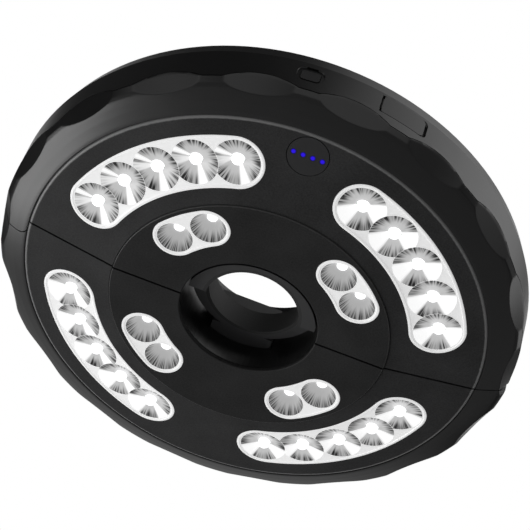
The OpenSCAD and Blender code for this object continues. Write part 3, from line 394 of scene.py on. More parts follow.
def use(tree, made, inputs=None):
    """Places a node group in a material, with its inputs set or joined."""
    return add(tree, "Group", inputs, node_tree=made)


# Moulded grain: fine pebbles in the tool's surface, and slow changes of tone and gloss over it
moulded, taken, given = group("moulded_grain", [
    ("Pebble", "Float", 2500.0), ("Tone", "Color", (0.01, 0.01, 0.01, 1)),
    ("Spread", "Float", 0.15), ("Gloss", "Float", 0.3), ("Gloss Spread", "Float", 0.08)],
    [("Height", "Float"), ("Color", "Color"), ("Roughness", "Float")])
where = add(moulded, "TexCoord").outputs["Object"]
pebble = add(moulded, "TexNoise", {"Vector": where, "Scale": taken.outputs["Pebble"],
                                   "Detail": 3.0})
slow = add(moulded, "TexNoise", {"Vector": where, "Scale": 45.0, "Detail": 4.0})
speck = add(moulded, "Math", {0: pebble.outputs["Fac"], 1: 0.5}, operation="SUBTRACT")
drift = add(moulded, "Math", {0: slow.outputs["Fac"], 1: 0.5}, operation="SUBTRACT")
both = add(moulded, "Math", {0: speck.outputs[0], 1: drift.outputs[0]}, operation="ADD")
lift = add(moulded, "Math", {0: both.outputs[0], 1: taken.outputs["Spread"], 2: 1.0},
           operation="MULTIPLY_ADD")
tone = add(moulded, "VectorMath", {0: taken.outputs["Tone"], "Scale": lift.outputs[0]},
           operation="SCALE")
gloss = add(moulded, "Math", {0: drift.outputs[0], 1: taken.outputs["Gloss Spread"],
                              2: taken.outputs["Gloss"]}, operation="MULTIPLY_ADD")
moulded.links.new(pebble.outputs["Fac"], given.inputs["Height"])
moulded.links.new(tone.outputs[0], given.inputs["Color"])
moulded.links.new(gloss.outputs[0], given.inputs["Roughness"])


def moulded_plastic(name, tone, gloss, pebble=2500.0, depth=0.02, spread=0.5, gloss_spread=0.1,
                    **sockets):
    """Plastic, rubber or foam with a moulded grain: tone and gloss drift, and pebbles bump it."""
    made, tree, shader = new_material(name)
    grain = use(tree, moulded, {"Pebble": pebble, "Tone": (*tone, 1), "Spread": spread,
                                "Gloss": gloss, "Gloss Spread": gloss_spread})
    bump = add(tree, "Bump", {"Height": grain.outputs["Height"], "Distance": depth * mm})
    tree.links.new(grain.outputs["Color"], shader.inputs["Base Color"])
    tree.links.new(grain.outputs["Roughness"], shader.inputs["Roughness"])
    tree.links.new(bump.outputs["Normal"], shader.inputs["Normal"])
    for label, value in sockets.items():
        shader.inputs[label.replace("_", " ")].default_value = value
    return made


shell_black = moulded_plastic("shell_black", (0.005, 0.005, 0.0052), 0.3, depth=0.004)

bodies_of = {main: "main_half", swing: "swing_half"}
names_of = {main: "main", swing: "swing"}
for side in (main, swing):
    lower = names_of[side] + "_lower_shell"
    bezel = bezel_skin(names_of[side] + "_bezel", side)
    finish_piece(bezel, bodies_of[side], "shell", shell_black, lower)
    floor = merged_copy(names_of[side] + "_lower_floor", lower)
    cut_away(floor, revolved_cutter("cutter", [
        (SKIN_BACK[0][0], CLEAR_LOW), *SKIN_BACK, (SKIN_BACK[-1][0], CLEAR_HIGH),
        (CLEAR_OUT, CLEAR_HIGH), (CLEAR_OUT, CLEAR_LOW)]))
    finish_piece(floor, bodies_of[side], "shell", shell_black, lower)

# ---- top shells -----------------------------------------------------------------------------
# The side band and the flat top of each half are one moulding in the same black plastic. Its
# lower edge arches over the scallops, and shell screws sit in counterbores in the top.


def turned_shading(piece, near=3.0, level=0.02):
    """Exact shading of turned surfaces. A face belongs to one if its normal, seen along the pole,
    points at the pole or away from it, or if it is level. Each of its corners then gets that
    normal, turned about the pole from the face to the corner. Other faces keep their shading."""
    mesh = piece.data
    faces, corners = len(mesh.polygons), len(mesh.loops)
    normal, middle = np.empty(faces * 3), np.empty(faces * 3)
    sizes, owner = np.empty(faces, np.int32), np.empty(corners, np.int32)
    place = np.empty(len(mesh.vertices) * 3)
    mesh.polygons.foreach_get("normal", normal)
    mesh.polygons.foreach_get("center", middle)
    mesh.polygons.foreach_get("loop_total", sizes)
    mesh.loops.foreach_get("vertex_index", owner)
    mesh.vertices.foreach_get("co", place)
    normal, middle, place = (v.reshape(-1, 3) for v in (normal, middle, place))
    out = middle[:, :2] / np.linalg.norm(middle[:, :2], axis=1, keepdims=True)
    flat = np.linalg.norm(normal[:, :2], axis=1)
    toward = (normal[:, :2] * out).sum(1)
    is_turned = np.abs(toward) > flat * math.cos(math.radians(near))
    is_turned |= flat < level
    reach = np.copysign(flat, toward) * (flat >= level)
    of_face = np.repeat(np.arange(faces), sizes)
    spot = place[owner, :2]
    spot = spot / np.maximum(np.linalg.norm(spot, axis=1, keepdims=True), 1e-9)
    shading = np.concatenate([spot * reach[of_face, None], normal[of_face, 2:]], 1)
    shading[~is_turned[of_face]] = 0
    mesh.normals_split_custom_set(shading.tolist())


for side in (main, swing):
    top = merged_copy(names_of[side] + "_cover", names_of[side] + "_top_shell")
    turned_shading(top)
    finish_piece(top, bodies_of[side], "shell", shell_black, names_of[side] + "_top_shell")

# ---- face and hub plates --------------------------------------------------------------------
# Two grained plates are bonded to each lower shell: a conical ring whose rounded edge carries a
# painted highlight, and a flat ring inside it painted darker as shade. Kidney-shaped windows hold
# the reflector trays.

DISC_R = 53.3 * mm
FACE_R = 88.2 * mm
HUB_R = 26.3 * mm
FACE_STEP = 0.6 * mm
# Rise of the conical plates over their width
FACE_SLOPE = 6.4 / 34.7
FACE_ROUND = 1.1 * mm
FACE_CHAMFER = 0.2 * mm
STEP_GAP = 0.08 * mm
DISC_ROUND = 0.35 * mm
HUB_ROUND = 0.4 * mm
HUB_FLAT = 0.12 * mm
PLATE_T = 1.6 * mm
PLATE_SPLIT = 0.42 * mm
OUTER_RING_R = 70.3 * mm
INNER_RING_R = 43.2 * mm
# LEDs of a group, and the degrees between them
OUTER_COUNT = 5
INNER_COUNT = 2
OUTER_PITCH = 12.7
INNER_PITCH = 19.2
OUTER_CAP_R = 10.4 * mm
INNER_CAP_R = 8.3 * mm
WINDOW_GAP = 0.12 * mm
GAUGE_PLACE = (-0.9 * mm, -79.2 * mm)
GAUGE_R = 7.5 * mm
GAUGE_GAP = 0.3 * mm
CUT_LOW = -0.01
CUT_HIGH = 0.02
# Direction of the middle of each group of LEDs, in degrees
groups = {(main, "left"): -135, (main, "right"): -45, (swing, "left"): 135, (swing, "right"): 45}


def face_height(r):
    """Height of the conical plates' front, which rises evenly with the distance from the pole."""
    return FACE_STEP + (r - DISC_R) * FACE_SLOPE


def turned_half(name, side, loop, split, columns=300):
    """Half of a turned ring: a closed loop of radii and heights, carried round the pole from one
    side of the split to the other."""
    r, z = np.array(loop).T
    away = np.arcsin(split / r)
    share = np.linspace(0, 1, columns)[:, None]
    turn = away + (math.pi - 2 * away) * share
    if side == main:
        turn = turn - math.pi
    points = np.stack([r * np.cos(turn), r * np.sin(turn), z + 0 * turn], -1)
    return closed_grid(name, points)


def kidney_line(ring, middle, span, reach, steps=64):
    """Outline at one distance from an arc of a ring: the outer arc, a half circle round its end,
    the inner arc back and a half circle round its start."""
    share = np.linspace(-1, 1, steps, endpoint=False)
    sweep = np.radians(middle + span * share)
    round_off = (share + 1) * math.pi / 2
    back = sweep[::-1] + sweep[1] - sweep[0]
    first, last = math.radians(middle - span), math.radians(middle + span)
    outer = (ring + reach) * np.stack([np.cos(sweep), np.sin(sweep)])
    inner = (ring - reach) * np.stack([np.cos(back), np.sin(back)])
    ends = [ring * np.array([[math.cos(end)], [math.sin(end)]])
            + reach * np.stack([np.cos(start + round_off), np.sin(start + round_off)])
            for end, start in ((last, last), (first, first + math.pi))]
    return np.concatenate([outer, ends[0], inner, ends[1]], 1).T


def plug(outlines, heights):
    """Grid of outlines stacked at heights, for a cutter or a turned piece."""
    return np.stack([np.column_stack([line, np.full(len(line), high)])
                     for line, high in zip(outlines, heights)])


def punch(piece, line):
    """Cuts an outline right through a piece, along the pole."""
    cut_away(piece, closed_grid("cutter", plug([line, line], [CUT_LOW, CUT_HIGH])))


def circle(middle, radius, steps=96):
    """Circle about a place."""
    turn = np.linspace(0, 2 * math.pi, steps, endpoint=False)
    return np.stack([middle[0] + radius * np.cos(turn), middle[1] + radius * np.sin(turn)], 1)


def soft_corner(tip_r, tip_z, radius, start, end, steps=8):
    """Round on an outer edge: an arc whose middle is a radius inside the edge, and which turns from
    the slope of the front to the side."""
    turn = np.radians(np.linspace(start, end, steps))
    return np.stack([tip_r - radius + radius * np.sin(turn),
                     tip_z + radius - radius * np.cos(turn)], 1)


# Painted edge highlight: a mask that grows from none to full between two distances from the pole,
# which lightens the plates' outer edges as a painted highlight and makes them glossier
edge_highlight, taken, given = group("painted_edge_highlight", [("From", "Float", 0.0), ("To", "Float", 1.0)],
                           [("Mask", "Float")])
spot = add(edge_highlight, "VectorMath", {0: add(edge_highlight, "TexCoord").outputs["Object"], 1: (1, 1, 0)},
           operation="MULTIPLY")
reach = add(edge_highlight, "VectorMath", {0: spot.outputs[0]}, operation="LENGTH")
edge_noise = add(edge_highlight, "TexNoise", {"Vector": spot.outputs[0], "Scale": 700.0, "Detail": 3.0})
ragged = add(edge_highlight, "Math", {0: edge_noise.outputs["Fac"], 1: 0.4 * mm, 2: reach.outputs["Value"]},
             operation="MULTIPLY_ADD")
mask = add(edge_highlight, "MapRange", {"Value": ragged.outputs[0], "From Min": taken.outputs["From"],
                              "From Max": taken.outputs["To"]})
edge_highlight.links.new(mask.outputs[0], given.inputs["Mask"])


def grained_plate(name, tone, edge, pebble, depth, spread, low, high):
    """Matt grained plate whose outer edge is glossier and lightened by a painted highlight."""
    made, tree, shader = new_material(name)
    grain = use(tree, moulded, {"Pebble": pebble, "Tone": (*tone, 1), "Spread": spread,
                                "Gloss": 0.6, "Gloss Spread": 0.1})
    highlight_mask = use(tree, edge_highlight, {"From": low, "To": high})
    tint = add(tree, "Mix", {"Factor": highlight_mask.outputs["Mask"]}, data_type="RGBA")
    tree.links.new(grain.outputs["Color"], tint.inputs["A"])
    # The edge colour is a painted highlight.
    tint.inputs["B"].default_value = (*edge, 1)
    polish = add(tree, "MapRange", {"Value": highlight_mask.outputs["Mask"], "To Min": 0.6, "To Max": 0.3})
    bump = add(tree, "Bump", {"Height": grain.outputs["Height"], "Distance": depth * mm})
    tree.links.new(tint.outputs["Result"], shader.inputs["Base Color"])
    tree.links.new(polish.outputs[0], shader.inputs["Roughness"])
    tree.links.new(bump.outputs["Normal"], shader.inputs["Normal"])
    shader.inputs["Specular IOR Level"].default_value = 0.25
    return made


# Each plate's edge tone is a painted highlight on its rounded outer edge.
face_grained = grained_plate(
    "face_grained", (0.022, 0.022, 0.0225), (0.2, 0.2, 0.2), pebble=1700.0, depth=0.03, spread=1.5,
    low=87.2 * mm, high=87.7 * mm)
# The flat ring's darker tone is painted shade.
hub_grained = grained_plate(
    "hub_grained", (0.013, 0.013, 0.0132), (0.06, 0.06, 0.06), pebble=1500.0, depth=0.05,
    spread=1.8, low=53.1 * mm, high=53.4 * mm)
lean = math.degrees(math.atan(FACE_SLOPE))
edge_r = DISC_R + STEP_GAP
front_r = edge_r + FACE_CHAMFER
face_loop = np.concatenate([
    [(edge_r, face_height(edge_r) + FACE_CHAMFER), (front_r, face_height(front_r))],
    soft_corner(FACE_R, face_height(FACE_R - FACE_ROUND), FACE_ROUND, lean, 90, 14),
    [(FACE_R, face_height(FACE_R) + PLATE_T), (edge_r, face_height(edge_r) + PLATE_T)]])
hub_loop = np.concatenate([
    [(HUB_R, HUB_ROUND), (HUB_R + HUB_FLAT, HUB_FLAT), (HUB_R + HUB_ROUND, 0)],
    soft_corner(DISC_R, 0, DISC_ROUND, 0, 90), [(DISC_R, PLATE_T), (HUB_R, PLATE_T)]])
for side in (main, swing):
    prefix = names_of[side]
    face = turned_half(prefix + "_face_plate_grained", side, face_loop, PLATE_SPLIT)
    hub = turned_half(prefix + "_hub_plate_grained", side, hub_loop, PLATE_SPLIT)
    for hand in ("left", "right"):
        middle = groups[side, hand]
        for plate, ring, pitch, count, cap in (
                (face, OUTER_RING_R, OUTER_PITCH, OUTER_COUNT, OUTER_CAP_R),
                (hub, INNER_RING_R, INNER_PITCH, INNER_COUNT, INNER_CAP_R)):
            punch(plate, kidney_line(ring, middle, pitch * (count - 1) / 2, cap + WINDOW_GAP))
    if side == main:
        punch(face, circle(GAUGE_PLACE, GAUGE_R + GAUGE_GAP))
    for plate, part, finish in ((face, "_face_plate", face_grained),
                                (hub, "_hub_plate", hub_grained)):
        turned_shading(plate)
        finish_piece(plate, bodies_of[side], "face", finish, prefix + part)

# ---- reflector trays and bowls --------------------------------------------------------------
# White moulded trays fill the windows of the plates, each with a narrow raised border, and glow
# faintly with painted light. Each bowl in them is a shallow silvered cone with fine irregular
# flutes, whose reflections are painted on as streaks that darken at the rim, and the LEDs' light
# is painted on it in white wedges and as a glow.

OUTER_BOWL_R = 8.8 * mm
INNER_BOWL_R = 6.7 * mm
TRAY_BACK_Z = 9.4 * mm
RIM_DROP = 0.32 * mm
LAP_DROP = 0.22 * mm
LINER_T = 0.06 * mm
LINER_LAP = 0.01 * mm
FLUTE_DEPTH = 0.05 * mm
# Radius and height of the hole for the LED at the bottom of a bowl
OUTER_HOLE = (2.5 * mm, 6.35 * mm)
INNER_HOLE = (2.05 * mm, 6.6 * mm)
# Number of flutes round a bowl, which also seeds their unevenness
OUTER_FLUTES = 41
INNER_FLUTES = 29
lap_glare = 0.8
wedge_softness = 1.6
noise_step = 7.3
least_facing = 0.05
# Where the LEDs' light falls in each group's outer bowls: direction in degrees, half width, weight
wedges = {
    (main, "left"): [(50, 13, 1.0), (190, 9, 1.0), (156, 16, 0.6)],
    (main, "right"): [(140, 29, 1.0), (4, 37, 1.0)],
    (swing, "left"): [(146, 39, 1.0), (35, 18, 1.0)],
    (swing, "right"): [(131, 24, 0.95), (16, 24, 0.95)],
}

# The trays' faint white glow is painted light that brightens them.
tray_white = moulded_plastic("tray_white", (0.86, 0.86, 0.86), 0.35, 2200.0, 0.02, 0.06,
                             Emission_Color=(1, 1, 1, 1), Emission_Strength=0.33)


def tray(name, ring, middle, span, cap, rise, places, bowl_r):
    """Tray: kidney outlines at growing distance from the arc, from its middle line over the raised
    border and down to the back, with its bowls cut out as plain round holes. The profile gives
    each distance, and in millimetres how far the front lies behind the plate there."""
    profile = [(0, 0.3), (cap - 1.4 * mm, 0.3), (cap - 1.1 * mm, 0.22), (cap - 0.9 * mm, 0.03),
               (cap - 0.3 * mm, 0), (cap - 0.08 * mm, 0.08), (cap, 0.3)]
    rows = []
    for reach, drop in profile:
        line = kidney_line(ring, middle, span, reach)
        rows.append(np.column_stack([line, rise(np.hypot(line[:, 0], line[:, 1])) + drop * mm]))
    for reach in (cap, 0):
        line = kidney_line(ring, middle, span, reach)
        rows.append(np.column_stack([line, np.full(len(line), TRAY_BACK_Z)]))
    made = closed_grid(name, np.stack(rows), caps=False)
    join_corners(made.data, turn_out=True)
    for spot in places:
        punch(made, circle(spot, bowl_r - LINER_LAP, 180))
    soft_shading(made.data, 25)
    return made


def bowl_liner(name, middles, radius, rise, hole, lights, flutes, laps, turns=240, rows=28):
    """Silvered liners of one tray's bowls. Each is a cone from its rim, which lies in the tray's
    front, down to the LED, its height rippled by flutes: a sum of cosines round the bowl, times
    the cube of the distance from its middle. Where two bowls meet, one ends on the plane halfway
    between them, and the other's rim laps over it. A second cone just behind closes the liner."""
    hole_r, hole_z = hole
    turn = np.linspace(0, 2 * math.pi, turns, endpoint=False)
    wander = np.random.default_rng(flutes)
    wave = sum(np.cos(k * turn + wander.uniform(0, 2 * math.pi)) * wander.uniform(0.4, 1)
               for k in range(flutes - 9, flutes + 10, 3))
    points, faces, places, glare = [], [], [], []
    share = np.linspace(0, 1, rows)[:, None]
    for order, (cx, cy) in enumerate(middles):
        reach = np.full(turns, radius)
        lapping = np.zeros(turns)
        for other, (ox, oy) in enumerate(middles):
            apart = math.hypot(ox - cx, oy - cy)
            if 0 < apart < 2 * radius:
                facing = np.cos(turn - math.atan2(oy - cy, ox - cx))
                meet = apart / 2 / np.maximum(facing, least_facing)
                meet = np.where(facing > least_facing, meet, no_hit)
                if (other - order) * laps > 0:
                    lapping = np.maximum(lapping, meet < radius)
                else:
                    reach = np.minimum(reach, meet)
        r = hole_r + (reach - hole_r) * share
        edge = np.hypot(cx + radius * np.cos(turn), cy + radius * np.sin(turn))
        rim_z = rise(edge) + RIM_DROP
        cone = rim_z + (hole_z - rim_z) * (radius - r) / (radius - hole_r)
        ripple = FLUTE_DEPTH * wave[None, :] * (r / radius) ** 3
        under = LAP_DROP * (reach < radius) * share ** 3
        front = np.stack([cx + r * np.cos(turn), cy + r * np.sin(turn),
                          cone + np.abs(ripple) + under], -1)
        ring = np.concatenate([front, (front + [0, 0, LINER_T])[::-1]])
        base = sum(len(p) for p in points)
        index = base + np.arange(len(ring) * turns).reshape(len(ring), turns)
        below = np.roll(index, -1, 0)
        quads = np.stack([index, np.roll(index, -1, 1), np.roll(below, -1, 1), below], -1)
        points.append(ring.reshape(-1, 3))
        faces.append(quads.reshape(-1, 4))
        v = (r - hole_r) / (radius - hole_r)
        v = np.concatenate([v, v[::-1]])
        spin = [np.cos(turn) + noise_step * order + 0 * v, np.sin(turn) + 0 * v, v]
        places.append(np.stack(spin, -1).reshape(-1, 3))
        shine = np.zeros(turns)
        for way, width, weight in lights:
            off = np.abs((np.degrees(turn) - way + 180) % 360 - 180)
            shine = np.maximum(shine, weight / (1 + np.exp((off - width) / wedge_softness)))
        shine = np.repeat(shine[None, :], rows, 0)
        shine[-1] = np.maximum(shine[-1], lap_glare * lapping)
        glare.append(np.concatenate([shine, shine[::-1]]).reshape(-1))
    mesh = bpy.data.meshes.new(name)
    mesh.from_pydata(np.concatenate(points).tolist(), [], np.concatenate(faces).tolist())
    place = mesh.attributes.new("bowl_place", "FLOAT_VECTOR", "POINT")
    place.data.foreach_set("vector", np.concatenate(places).astype(np.float32).ravel())
    light = mesh.attributes.new("glare", "FLOAT", "POINT")
    light.data.foreach_set("value", np.concatenate(glare).astype(np.float32))
    return piece_from(name, mesh, sharp=60)


# Flute reflections: painted streaks that run out from the LED and turn dark at the rim, each to
# its own length, standing in for the fluted silver's reflections
flute_reflections, taken, given = group("painted_flute_reflections", [
    ("Count", "Float", 9.0), ("Start", "Float", 0.45), ("Dark", "Float", 0.05),
    ("Light", "Float", 0.7)], [("Color", "Color"), ("Glow", "Color")])
place = add(flute_reflections, "Attribute", attribute_name="bowl_place").outputs["Vector"]
part = add(flute_reflections, "SeparateXYZ", {0: place})
around = add(flute_reflections, "CombineXYZ", {"X": part.outputs["X"], "Y": part.outputs["Y"]})
coarse = add(flute_reflections, "TexNoise", {"Vector": around.outputs[0], "Scale": taken.outputs["Count"],
                                  "Detail": 1.0, "Roughness": 0.6})
fine = add(flute_reflections, "Math", {0: taken.outputs["Count"], 1: 2.7}, operation="MULTIPLY")
thin = add(flute_reflections, "TexNoise", {"Vector": around.outputs[0], "Scale": fine.outputs[0],
                                "Detail": 1.0, "Roughness": 0.6})
begin = add(flute_reflections, "MapRange", {"Value": coarse.outputs["Fac"], "From Min": 0.3, "From Max": 0.7,
                                 "To Min": 0.0, "To Max": 0.35})
first = add(flute_reflections, "Math", {0: begin.outputs[0], 1: taken.outputs["Start"]}, operation="ADD")
past = add(flute_reflections, "Math", {0: part.outputs["Z"], 1: first.outputs[0]}, operation="SUBTRACT")
shade = add(flute_reflections, "MapRange", {"Value": past.outputs[0], "From Min": -0.2, "From Max": 0.35},
            interpolation_type="SMOOTHSTEP")
streak = add(flute_reflections, "MapRange", {"Value": thin.outputs["Fac"], "From Min": 0.42, "From Max": 0.58,
                                  "To Min": 1.0, "To Max": 0.25})
shadow = add(flute_reflections, "Math", {0: shade.outputs[0], 1: streak.outputs[0]}, operation="MULTIPLY")
grey = add(flute_reflections, "Mix", {"Factor": shadow.outputs[0], "A": taken.outputs["Light"],
                           "B": taken.outputs["Dark"]}, data_type="FLOAT")
shine = add(flute_reflections, "Attribute", attribute_name="glare").outputs["Fac"]
lit = add(flute_reflections, "Mix", {"Factor": shine, "A": grey.outputs[0], "B": 1.0}, data_type="FLOAT")
flat = add(flute_reflections, "CombineColor", {0: lit.outputs[0], 1: lit.outputs[0], 2: lit.outputs[0]})
dull = add(flute_reflections, "VectorMath", {0: flat.outputs[0], "Scale": 0.4}, operation="SCALE")
flute_reflections.links.new(dull.outputs[0], given.inputs["Color"])
flute_reflections.links.new(flat.outputs[0], given.inputs["Glow"])


def silvered(name, count, start, dark, light):
    """Silvered bowl: painted flute reflections colour a bright surface, which also glows with
    painted light from the LEDs.
    """
    made, tree, shader = new_material(name)
    streaks = use(tree, flute_reflections, {"Count": count, "Start": start, "Dark": dark, "Light": light})
    tree.links.new(streaks.outputs["Color"], shader.inputs["Base Color"])
    tree.links.new(streaks.outputs["Glow"], shader.inputs["Emission Color"])
    shader.inputs["Emission Strength"].default_value = 0.82
    shader.inputs["Metallic"].default_value = 0.1
    shader.inputs["Specular IOR Level"].default_value = 0.3
    shader.inputs["Roughness"].default_value = 0.35
    return made


bowl_silver = silvered("bowl_silver", count=4.0, start=0.36, dark=0.01, light=0.5)
deep_silver = silvered("deep_silver", count=5.0, start=0.4, dark=0.01, light=0.42)


def hub_height(r):
    """Height of the flat plates' front, which is level."""
    return 0 * r


def ring_places(ring, middle, pitch, count):
    """Middles of a group's LEDs on their ring."""
    turn = np.radians(middle + pitch * (np.arange(count) - (count - 1) / 2))
    return np.stack([ring * np.cos(turn), ring * np.sin(turn)], 1)


for (side, hand), middle in groups.items():
    laps = 1 if hand == "left" else -1
    outer = names_of[side] + "_outer_reflector_" + hand
    places = ring_places(OUTER_RING_R, middle, OUTER_PITCH, OUTER_COUNT)
    made = tray(outer + "_tray", OUTER_RING_R, middle, OUTER_PITCH * (OUTER_COUNT - 1) / 2,
                OUTER_CAP_R, face_height, places, OUTER_BOWL_R)
    finish_piece(made, bodies_of[side], "reflector", tray_white, outer)
    made = bowl_liner(outer + "_bowls", places, OUTER_BOWL_R, face_height, OUTER_HOLE,
                      wedges[side, hand], OUTER_FLUTES, laps)
    finish_piece(made, bodies_of[side], "reflector", bowl_silver)
    inner = names_of[side] + "_inner_reflector_" + hand
    places = ring_places(INNER_RING_R, middle, INNER_PITCH, INNER_COUNT)
    made = tray(inner + "_tray", INNER_RING_R, middle, INNER_PITCH * (INNER_COUNT - 1) / 2,
                INNER_CAP_R, hub_height, places, INNER_BOWL_R)
    finish_piece(made, bodies_of[side], "reflector", tray_white, inner)
    made = bowl_liner(inner + "_bowls", places, INNER_BOWL_R, hub_height, INNER_HOLE, [],
                      INNER_FLUTES, laps)
    finish_piece(made, bodies_of[side], "reflector", deep_silver)

# ---- LEDs -----------------------------------------------------------------------------------
# A clear moulded dome over each LED stands in the hole at the bottom of its bowl, on the board
# behind. The LEDs are lit, so the domes glow white.

LENS_BACK_Z = 9.3 * mm
lamp_lit, tree, shader = new_material("lamp_lit")
rim = add(tree, "TexNoise", {"Vector": add(tree, "TexCoord").outputs["Object"], "Scale": 900.0})
warm = add(tree, "MapRange", {"Value": rim.outputs["Fac"], "To Min": 0.96, "To Max": 1.0})
tint = add(tree, "CombineColor", {0: warm.outputs[0], 1: warm.outputs[0], 2: 1.0})
tree.links.new(tint.outputs[0], shader.inputs["Emission Color"])
shader.inputs["Emission Strength"].default_value = 1.3
shader.inputs["Roughness"].default_value = 0.15


def lenses(name, places, tip, radius, rise):
    """Domed lenses: half of an ellipsoid from the tip to its edge, and a straight side."""
    turn = np.radians(np.linspace(1, 90, 16))
    radii = np.append(radius * np.sin(turn), radius)
    heights = np.append(tip + rise * (1 - np.cos(turn)), LENS_BACK_Z)
    return closed_grid(name, *(plug([circle(spot, r, 48) for r in radii], heights)
                               for spot in places))


for side in (main, swing):
    for ring, middle_r, pitch, count, tip, radius, rise in (
            ("_outer_leds", OUTER_RING_R, OUTER_PITCH, OUTER_COUNT, 3.9 * mm, 2.35 * mm, 2.3 * mm),
            ("_inner_leds", INNER_RING_R, INNER_PITCH, INNER_COUNT, 5.7 * mm, 2.0 * mm, 0.9 * mm)):
        spots = [ring_places(middle_r, groups[side, hand], pitch, count)
                 for hand in ("left", "right")]
        lens = lenses(names_of[side] + ring + "_lenses", np.concatenate(spots), tip, radius, rise)
        finish_piece(lens, bodies_of[side], "led", lamp_lit, names_of[side] + ring)

# ---- charge gauge ---------------------------------------------------------------------------
# A round window of smoked plastic lies flush in the hole of the conical plate, bonded to the lower
# shell behind. The ends of four light pipes show in it as soft blue dots, the level of the charge.

DOT_PITCH = 3.6 * mm
DOT_START_X = GAUGE_PLACE[0] - 1.5 * DOT_PITCH
DOT_CORE = 0.45 * mm
DOT_EDGE = 1.0 * mm
gauge_smoked = moulded_plastic("gauge_smoked", (0.013, 0.013, 0.014), 0.4, 1500.0, 0.004, 0.2)
gauge_blue, tree, shader = new_material("gauge_blue")
where = add(tree, "SeparateXYZ", {0: add(tree, "TexCoord").outputs["Object"]})
first = add(tree, "Math", {0: where.outputs["X"], 1: -DOT_START_X}, operation="ADD")
cell = add(tree, "Math", {0: first.outputs[0], 1: DOT_PITCH}, operation="DIVIDE")
middle = add(tree, "Math", {0: cell.outputs[0]}, operation="ROUND")
near = add(tree, "Math", {0: cell.outputs[0], 1: middle.outputs[0]}, operation="SUBTRACT")
beside = add(tree, "Math", {0: near.outputs[0], 1: DOT_PITCH}, operation="MULTIPLY")
above = add(tree, "Math", {0: where.outputs["Y"], 1: -GAUGE_PLACE[1]}, operation="ADD")
spread = add(tree, "CombineXYZ", {"X": beside.outputs[0], "Y": above.outputs[0]})
out = add(tree, "VectorMath", {0: spread.outputs[0]}, operation="LENGTH")
level = add(tree, "MapRange", {"Value": out.outputs["Value"], "From Min": DOT_CORE,
                               "From Max": DOT_EDGE, "To Min": 0.95, "To Max": 0.08},
            interpolation_type="SMOOTHSTEP")
blue = add(tree, "VectorMath", {0: (0.018, 0.001, 0.75), "Scale": level.outputs[0]},
           operation="SCALE")
tree.links.new(blue.outputs[0], shader.inputs["Emission Color"])
shader.inputs["Base Color"].default_value = (0.01, 0.005, 0.1, 1)
shader.inputs["Specular IOR Level"].default_value = 0.2
shader.inputs["Emission Strength"].default_value = 1.0

# ---- inner parts and small pieces -----------------------------------------------------------
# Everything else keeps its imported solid: moulded jaws with rubber pads, the button and the flap,
# the boards, cells, foam saddles, steel springs, pin and screws, and the insulated leads.

rubber_black = moulded_plastic("rubber_black", (0.018, 0.018, 0.018), 0.7, 1800.0, 0.03, 0.6)
button_black = moulded_plastic("button_black", (0.012, 0.012, 0.0125), 0.35, 2000.0, 0.006, 0.4)
flap_rubber = moulded_plastic("flap_rubber", (0.013, 0.013, 0.013), 0.36, 2000.0, 0.006, 0.4)
jaw_grey = moulded_plastic("jaw_grey", (0.03, 0.03, 0.031), 0.45, 2000.0, 0.01, 0.4)
board_green = moulded_plastic("board_green", (0.02, 0.12, 0.045), 0.35, 600.0, 0.01, 0.5)
cell_wrap = moulded_plastic("cell_wrap", (0.03, 0.11, 0.3), 0.3, 400.0, 0.01, 0.3)
foam_grey = moulded_plastic("foam_grey", (0.06, 0.06, 0.065), 0.9, 1100.0, 0.15, 1.2)
lead_red = moulded_plastic("lead_red", (0.5, 0.02, 0.02), 0.4, 900.0, 0.01, 0.3)
lead_black = moulded_plastic("lead_black", (0.015, 0.015, 0.015), 0.4, 900.0, 0.01, 0.3)
plunger_white = moulded_plastic("plunger_white", (0.6, 0.6, 0.58), 0.4, 900.0, 0.01, 0.2)
steel_bright = moulded_plastic("steel_bright", (0.56, 0.56, 0.57), 0.3, 3000.0, 0.01, 0.3,
                               Metallic=1.0)
finishes = {
    gauge_smoked: ["gauge_window"], gauge_blue: ["gauge_light_pipes"],
    rubber_black: ["main_jaw_pads", "swing_jaw_pad"], flap_rubber: ["port_flap"],
    button_black: ["power_button", "power_switch"],
    jaw_grey: ["main_jaw", "swing_jaw", "main_guide_cap", "swing_guide_cap"],
    board_green: ["main_led_board", "swing_led_board", "control_board"],
    cell_wrap: ["main_cells", "swing_cells"],
    foam_grey: ["main_cell_saddles", "swing_cell_saddles"],
    lead_red: ["battery_lead"], lead_black: ["link_lead"], plunger_white: ["switch_plunger"],
    steel_bright: ["hinge_pin", "hinge_spring", "main_jaw_spring", "swing_jaw_spring",
                   "main_shell_screws", "swing_shell_screws", "board_screws", "charge_socket"],
}
for finish, members in finishes.items():
    for node in members:
        nodes[node].data.materials.clear()
        nodes[node].data.materials.append(finish)

# ---- floor, background and lamps ------------------------------------------------------------
# None of this is part of the light: a pale floor well below the camera keeps its shadow, the
# background is white, and three soft boxes light it.

floor_z = -1.6
floor_size = 12
floor_glow = 0.45
room_light = 0.3
dark_room = 0.05
bpy.ops.mesh.primitive_plane_add(size=floor_size, location=(0, 0, floor_z))
ground = bpy.context.object
ground.name = "ground"
ground_pale, tree, shader = new_material("ground_pale")
shader.inputs["Base Color"].default_value = (0.8, 0.8, 0.8, 1)
shader.inputs["Roughness"].default_value = 0.9
seen = add(tree, "LightPath").outputs["Is Camera Ray"]
shader.inputs["Emission Color"].default_value = (1, 1, 1, 1)
glow = add(tree, "Math", {0: seen, 1: floor_glow}, operation="MULTIPLY")
tree.links.new(glow.outputs[0], shader.inputs["Emission Strength"])
ground.data.materials.append(ground_pale)
ground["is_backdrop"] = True

bpy.context.scene.view_settings.view_transform = "Standard"
world = bpy.data.worlds.new("studio")
bpy.context.scene.world = world
world.use_nodes = True
tree = world.node_tree
soft = tree.nodes["Background"]
soft.inputs["Color"].default_value = (1, 1, 1, 1)
soft.inputs["Strength"].default_value = room_light
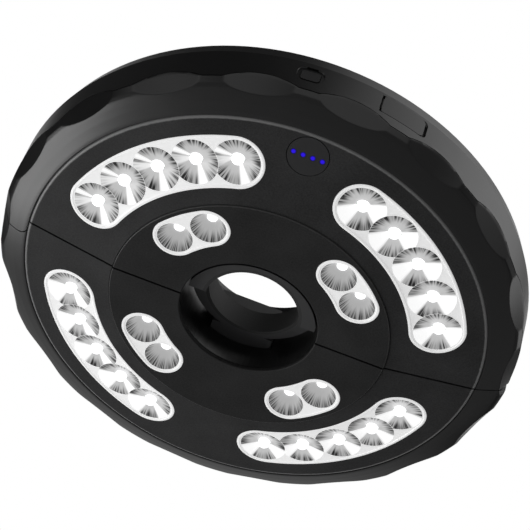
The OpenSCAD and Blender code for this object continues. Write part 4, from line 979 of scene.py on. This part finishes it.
# Mirrored light comes from the white behind the object and from soft glows at the right, above
# and behind on the lower left, and the rest of the room is dark. Each glow has its direction,
# the cosines between which it grows, and its strength.
way = add(tree, "TexCoord").outputs["Generated"]
glows = []
for across, along_up, toward, low, high, bright in (
        (0, 0, -1, 0.9, 0.985, 1.0), (0.85, 0.4, -0.35, 0.68, 1.0, 1.5),
        (0.3, 0.72, 0.62, 0.76, 0.87, 0.8), (-0.4, -0.68, -0.62, 0.8, 0.93, 0.45)):
    aim = view_right * across + view_up * along_up + to_camera * toward
    facing = add(tree, "VectorMath", {0: way, 1: tuple(aim / np.linalg.norm(aim))},
                 operation="DOT_PRODUCT")
    glows.append(add(tree, "MapRange", {"Value": facing.outputs["Value"], "From Min": low,
                                        "From Max": high, "To Min": dark_room,
                                        "To Max": bright}))
room = glows[0]
for glow in glows[1:]:
    room = add(tree, "Math", {0: room.outputs[0], 1: glow.outputs[0]}, operation="MAXIMUM")
mirrored = add(tree, "Background", {"Color": (1, 1, 1, 1), "Strength": room.outputs[0]})
white = add(tree, "Background", {"Color": (1, 1, 1, 1), "Strength": 1.0})
rays = add(tree, "LightPath")
direct = add(tree, "Math", {0: rays.outputs["Is Camera Ray"],
                            1: rays.outputs["Is Transmission Ray"]}, operation="MAXIMUM")
glossy = add(tree, "MixShader", {"Fac": rays.outputs["Is Glossy Ray"], 1: soft.outputs[0],
                                 2: mirrored.outputs[0]})
pick = add(tree, "MixShader", {"Fac": direct.outputs[0], 1: glossy.outputs[0],
                               2: white.outputs[0]})
tree.links.new(pick.outputs[0], tree.nodes["World Output"].inputs["Surface"])


def soft_lamp(name, across, along_up, toward, size, power, distance=1.1):
    """Square area lamp that faces the object from a direction given by the camera's right, its
    up and the way toward it."""
    lamp = add_object(name, bpy.data.lights.new(name, "AREA"))
    lamp.data.size = size
    lamp.data.energy = power
    away = view_right * across + view_up * along_up + to_camera * toward
    away /= np.linalg.norm(away)
    side_way = np.cross([0.0, 0.0, 1.0], away)
    side_way /= np.linalg.norm(side_way)
    place_thing(lamp, side_way, np.cross(away, side_way), away, away * distance)


soft_lamp("left_lamp", -0.9, -0.38, 0.17, size=1.6, power=36, distance=2.2)
soft_lamp("right_lamp", 0.8, -0.4, -0.46, size=0.4, power=0.6)
soft_lamp("top_lamp", -0.66, 0.61, 0.43, size=0.5, power=0.6)

low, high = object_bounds()
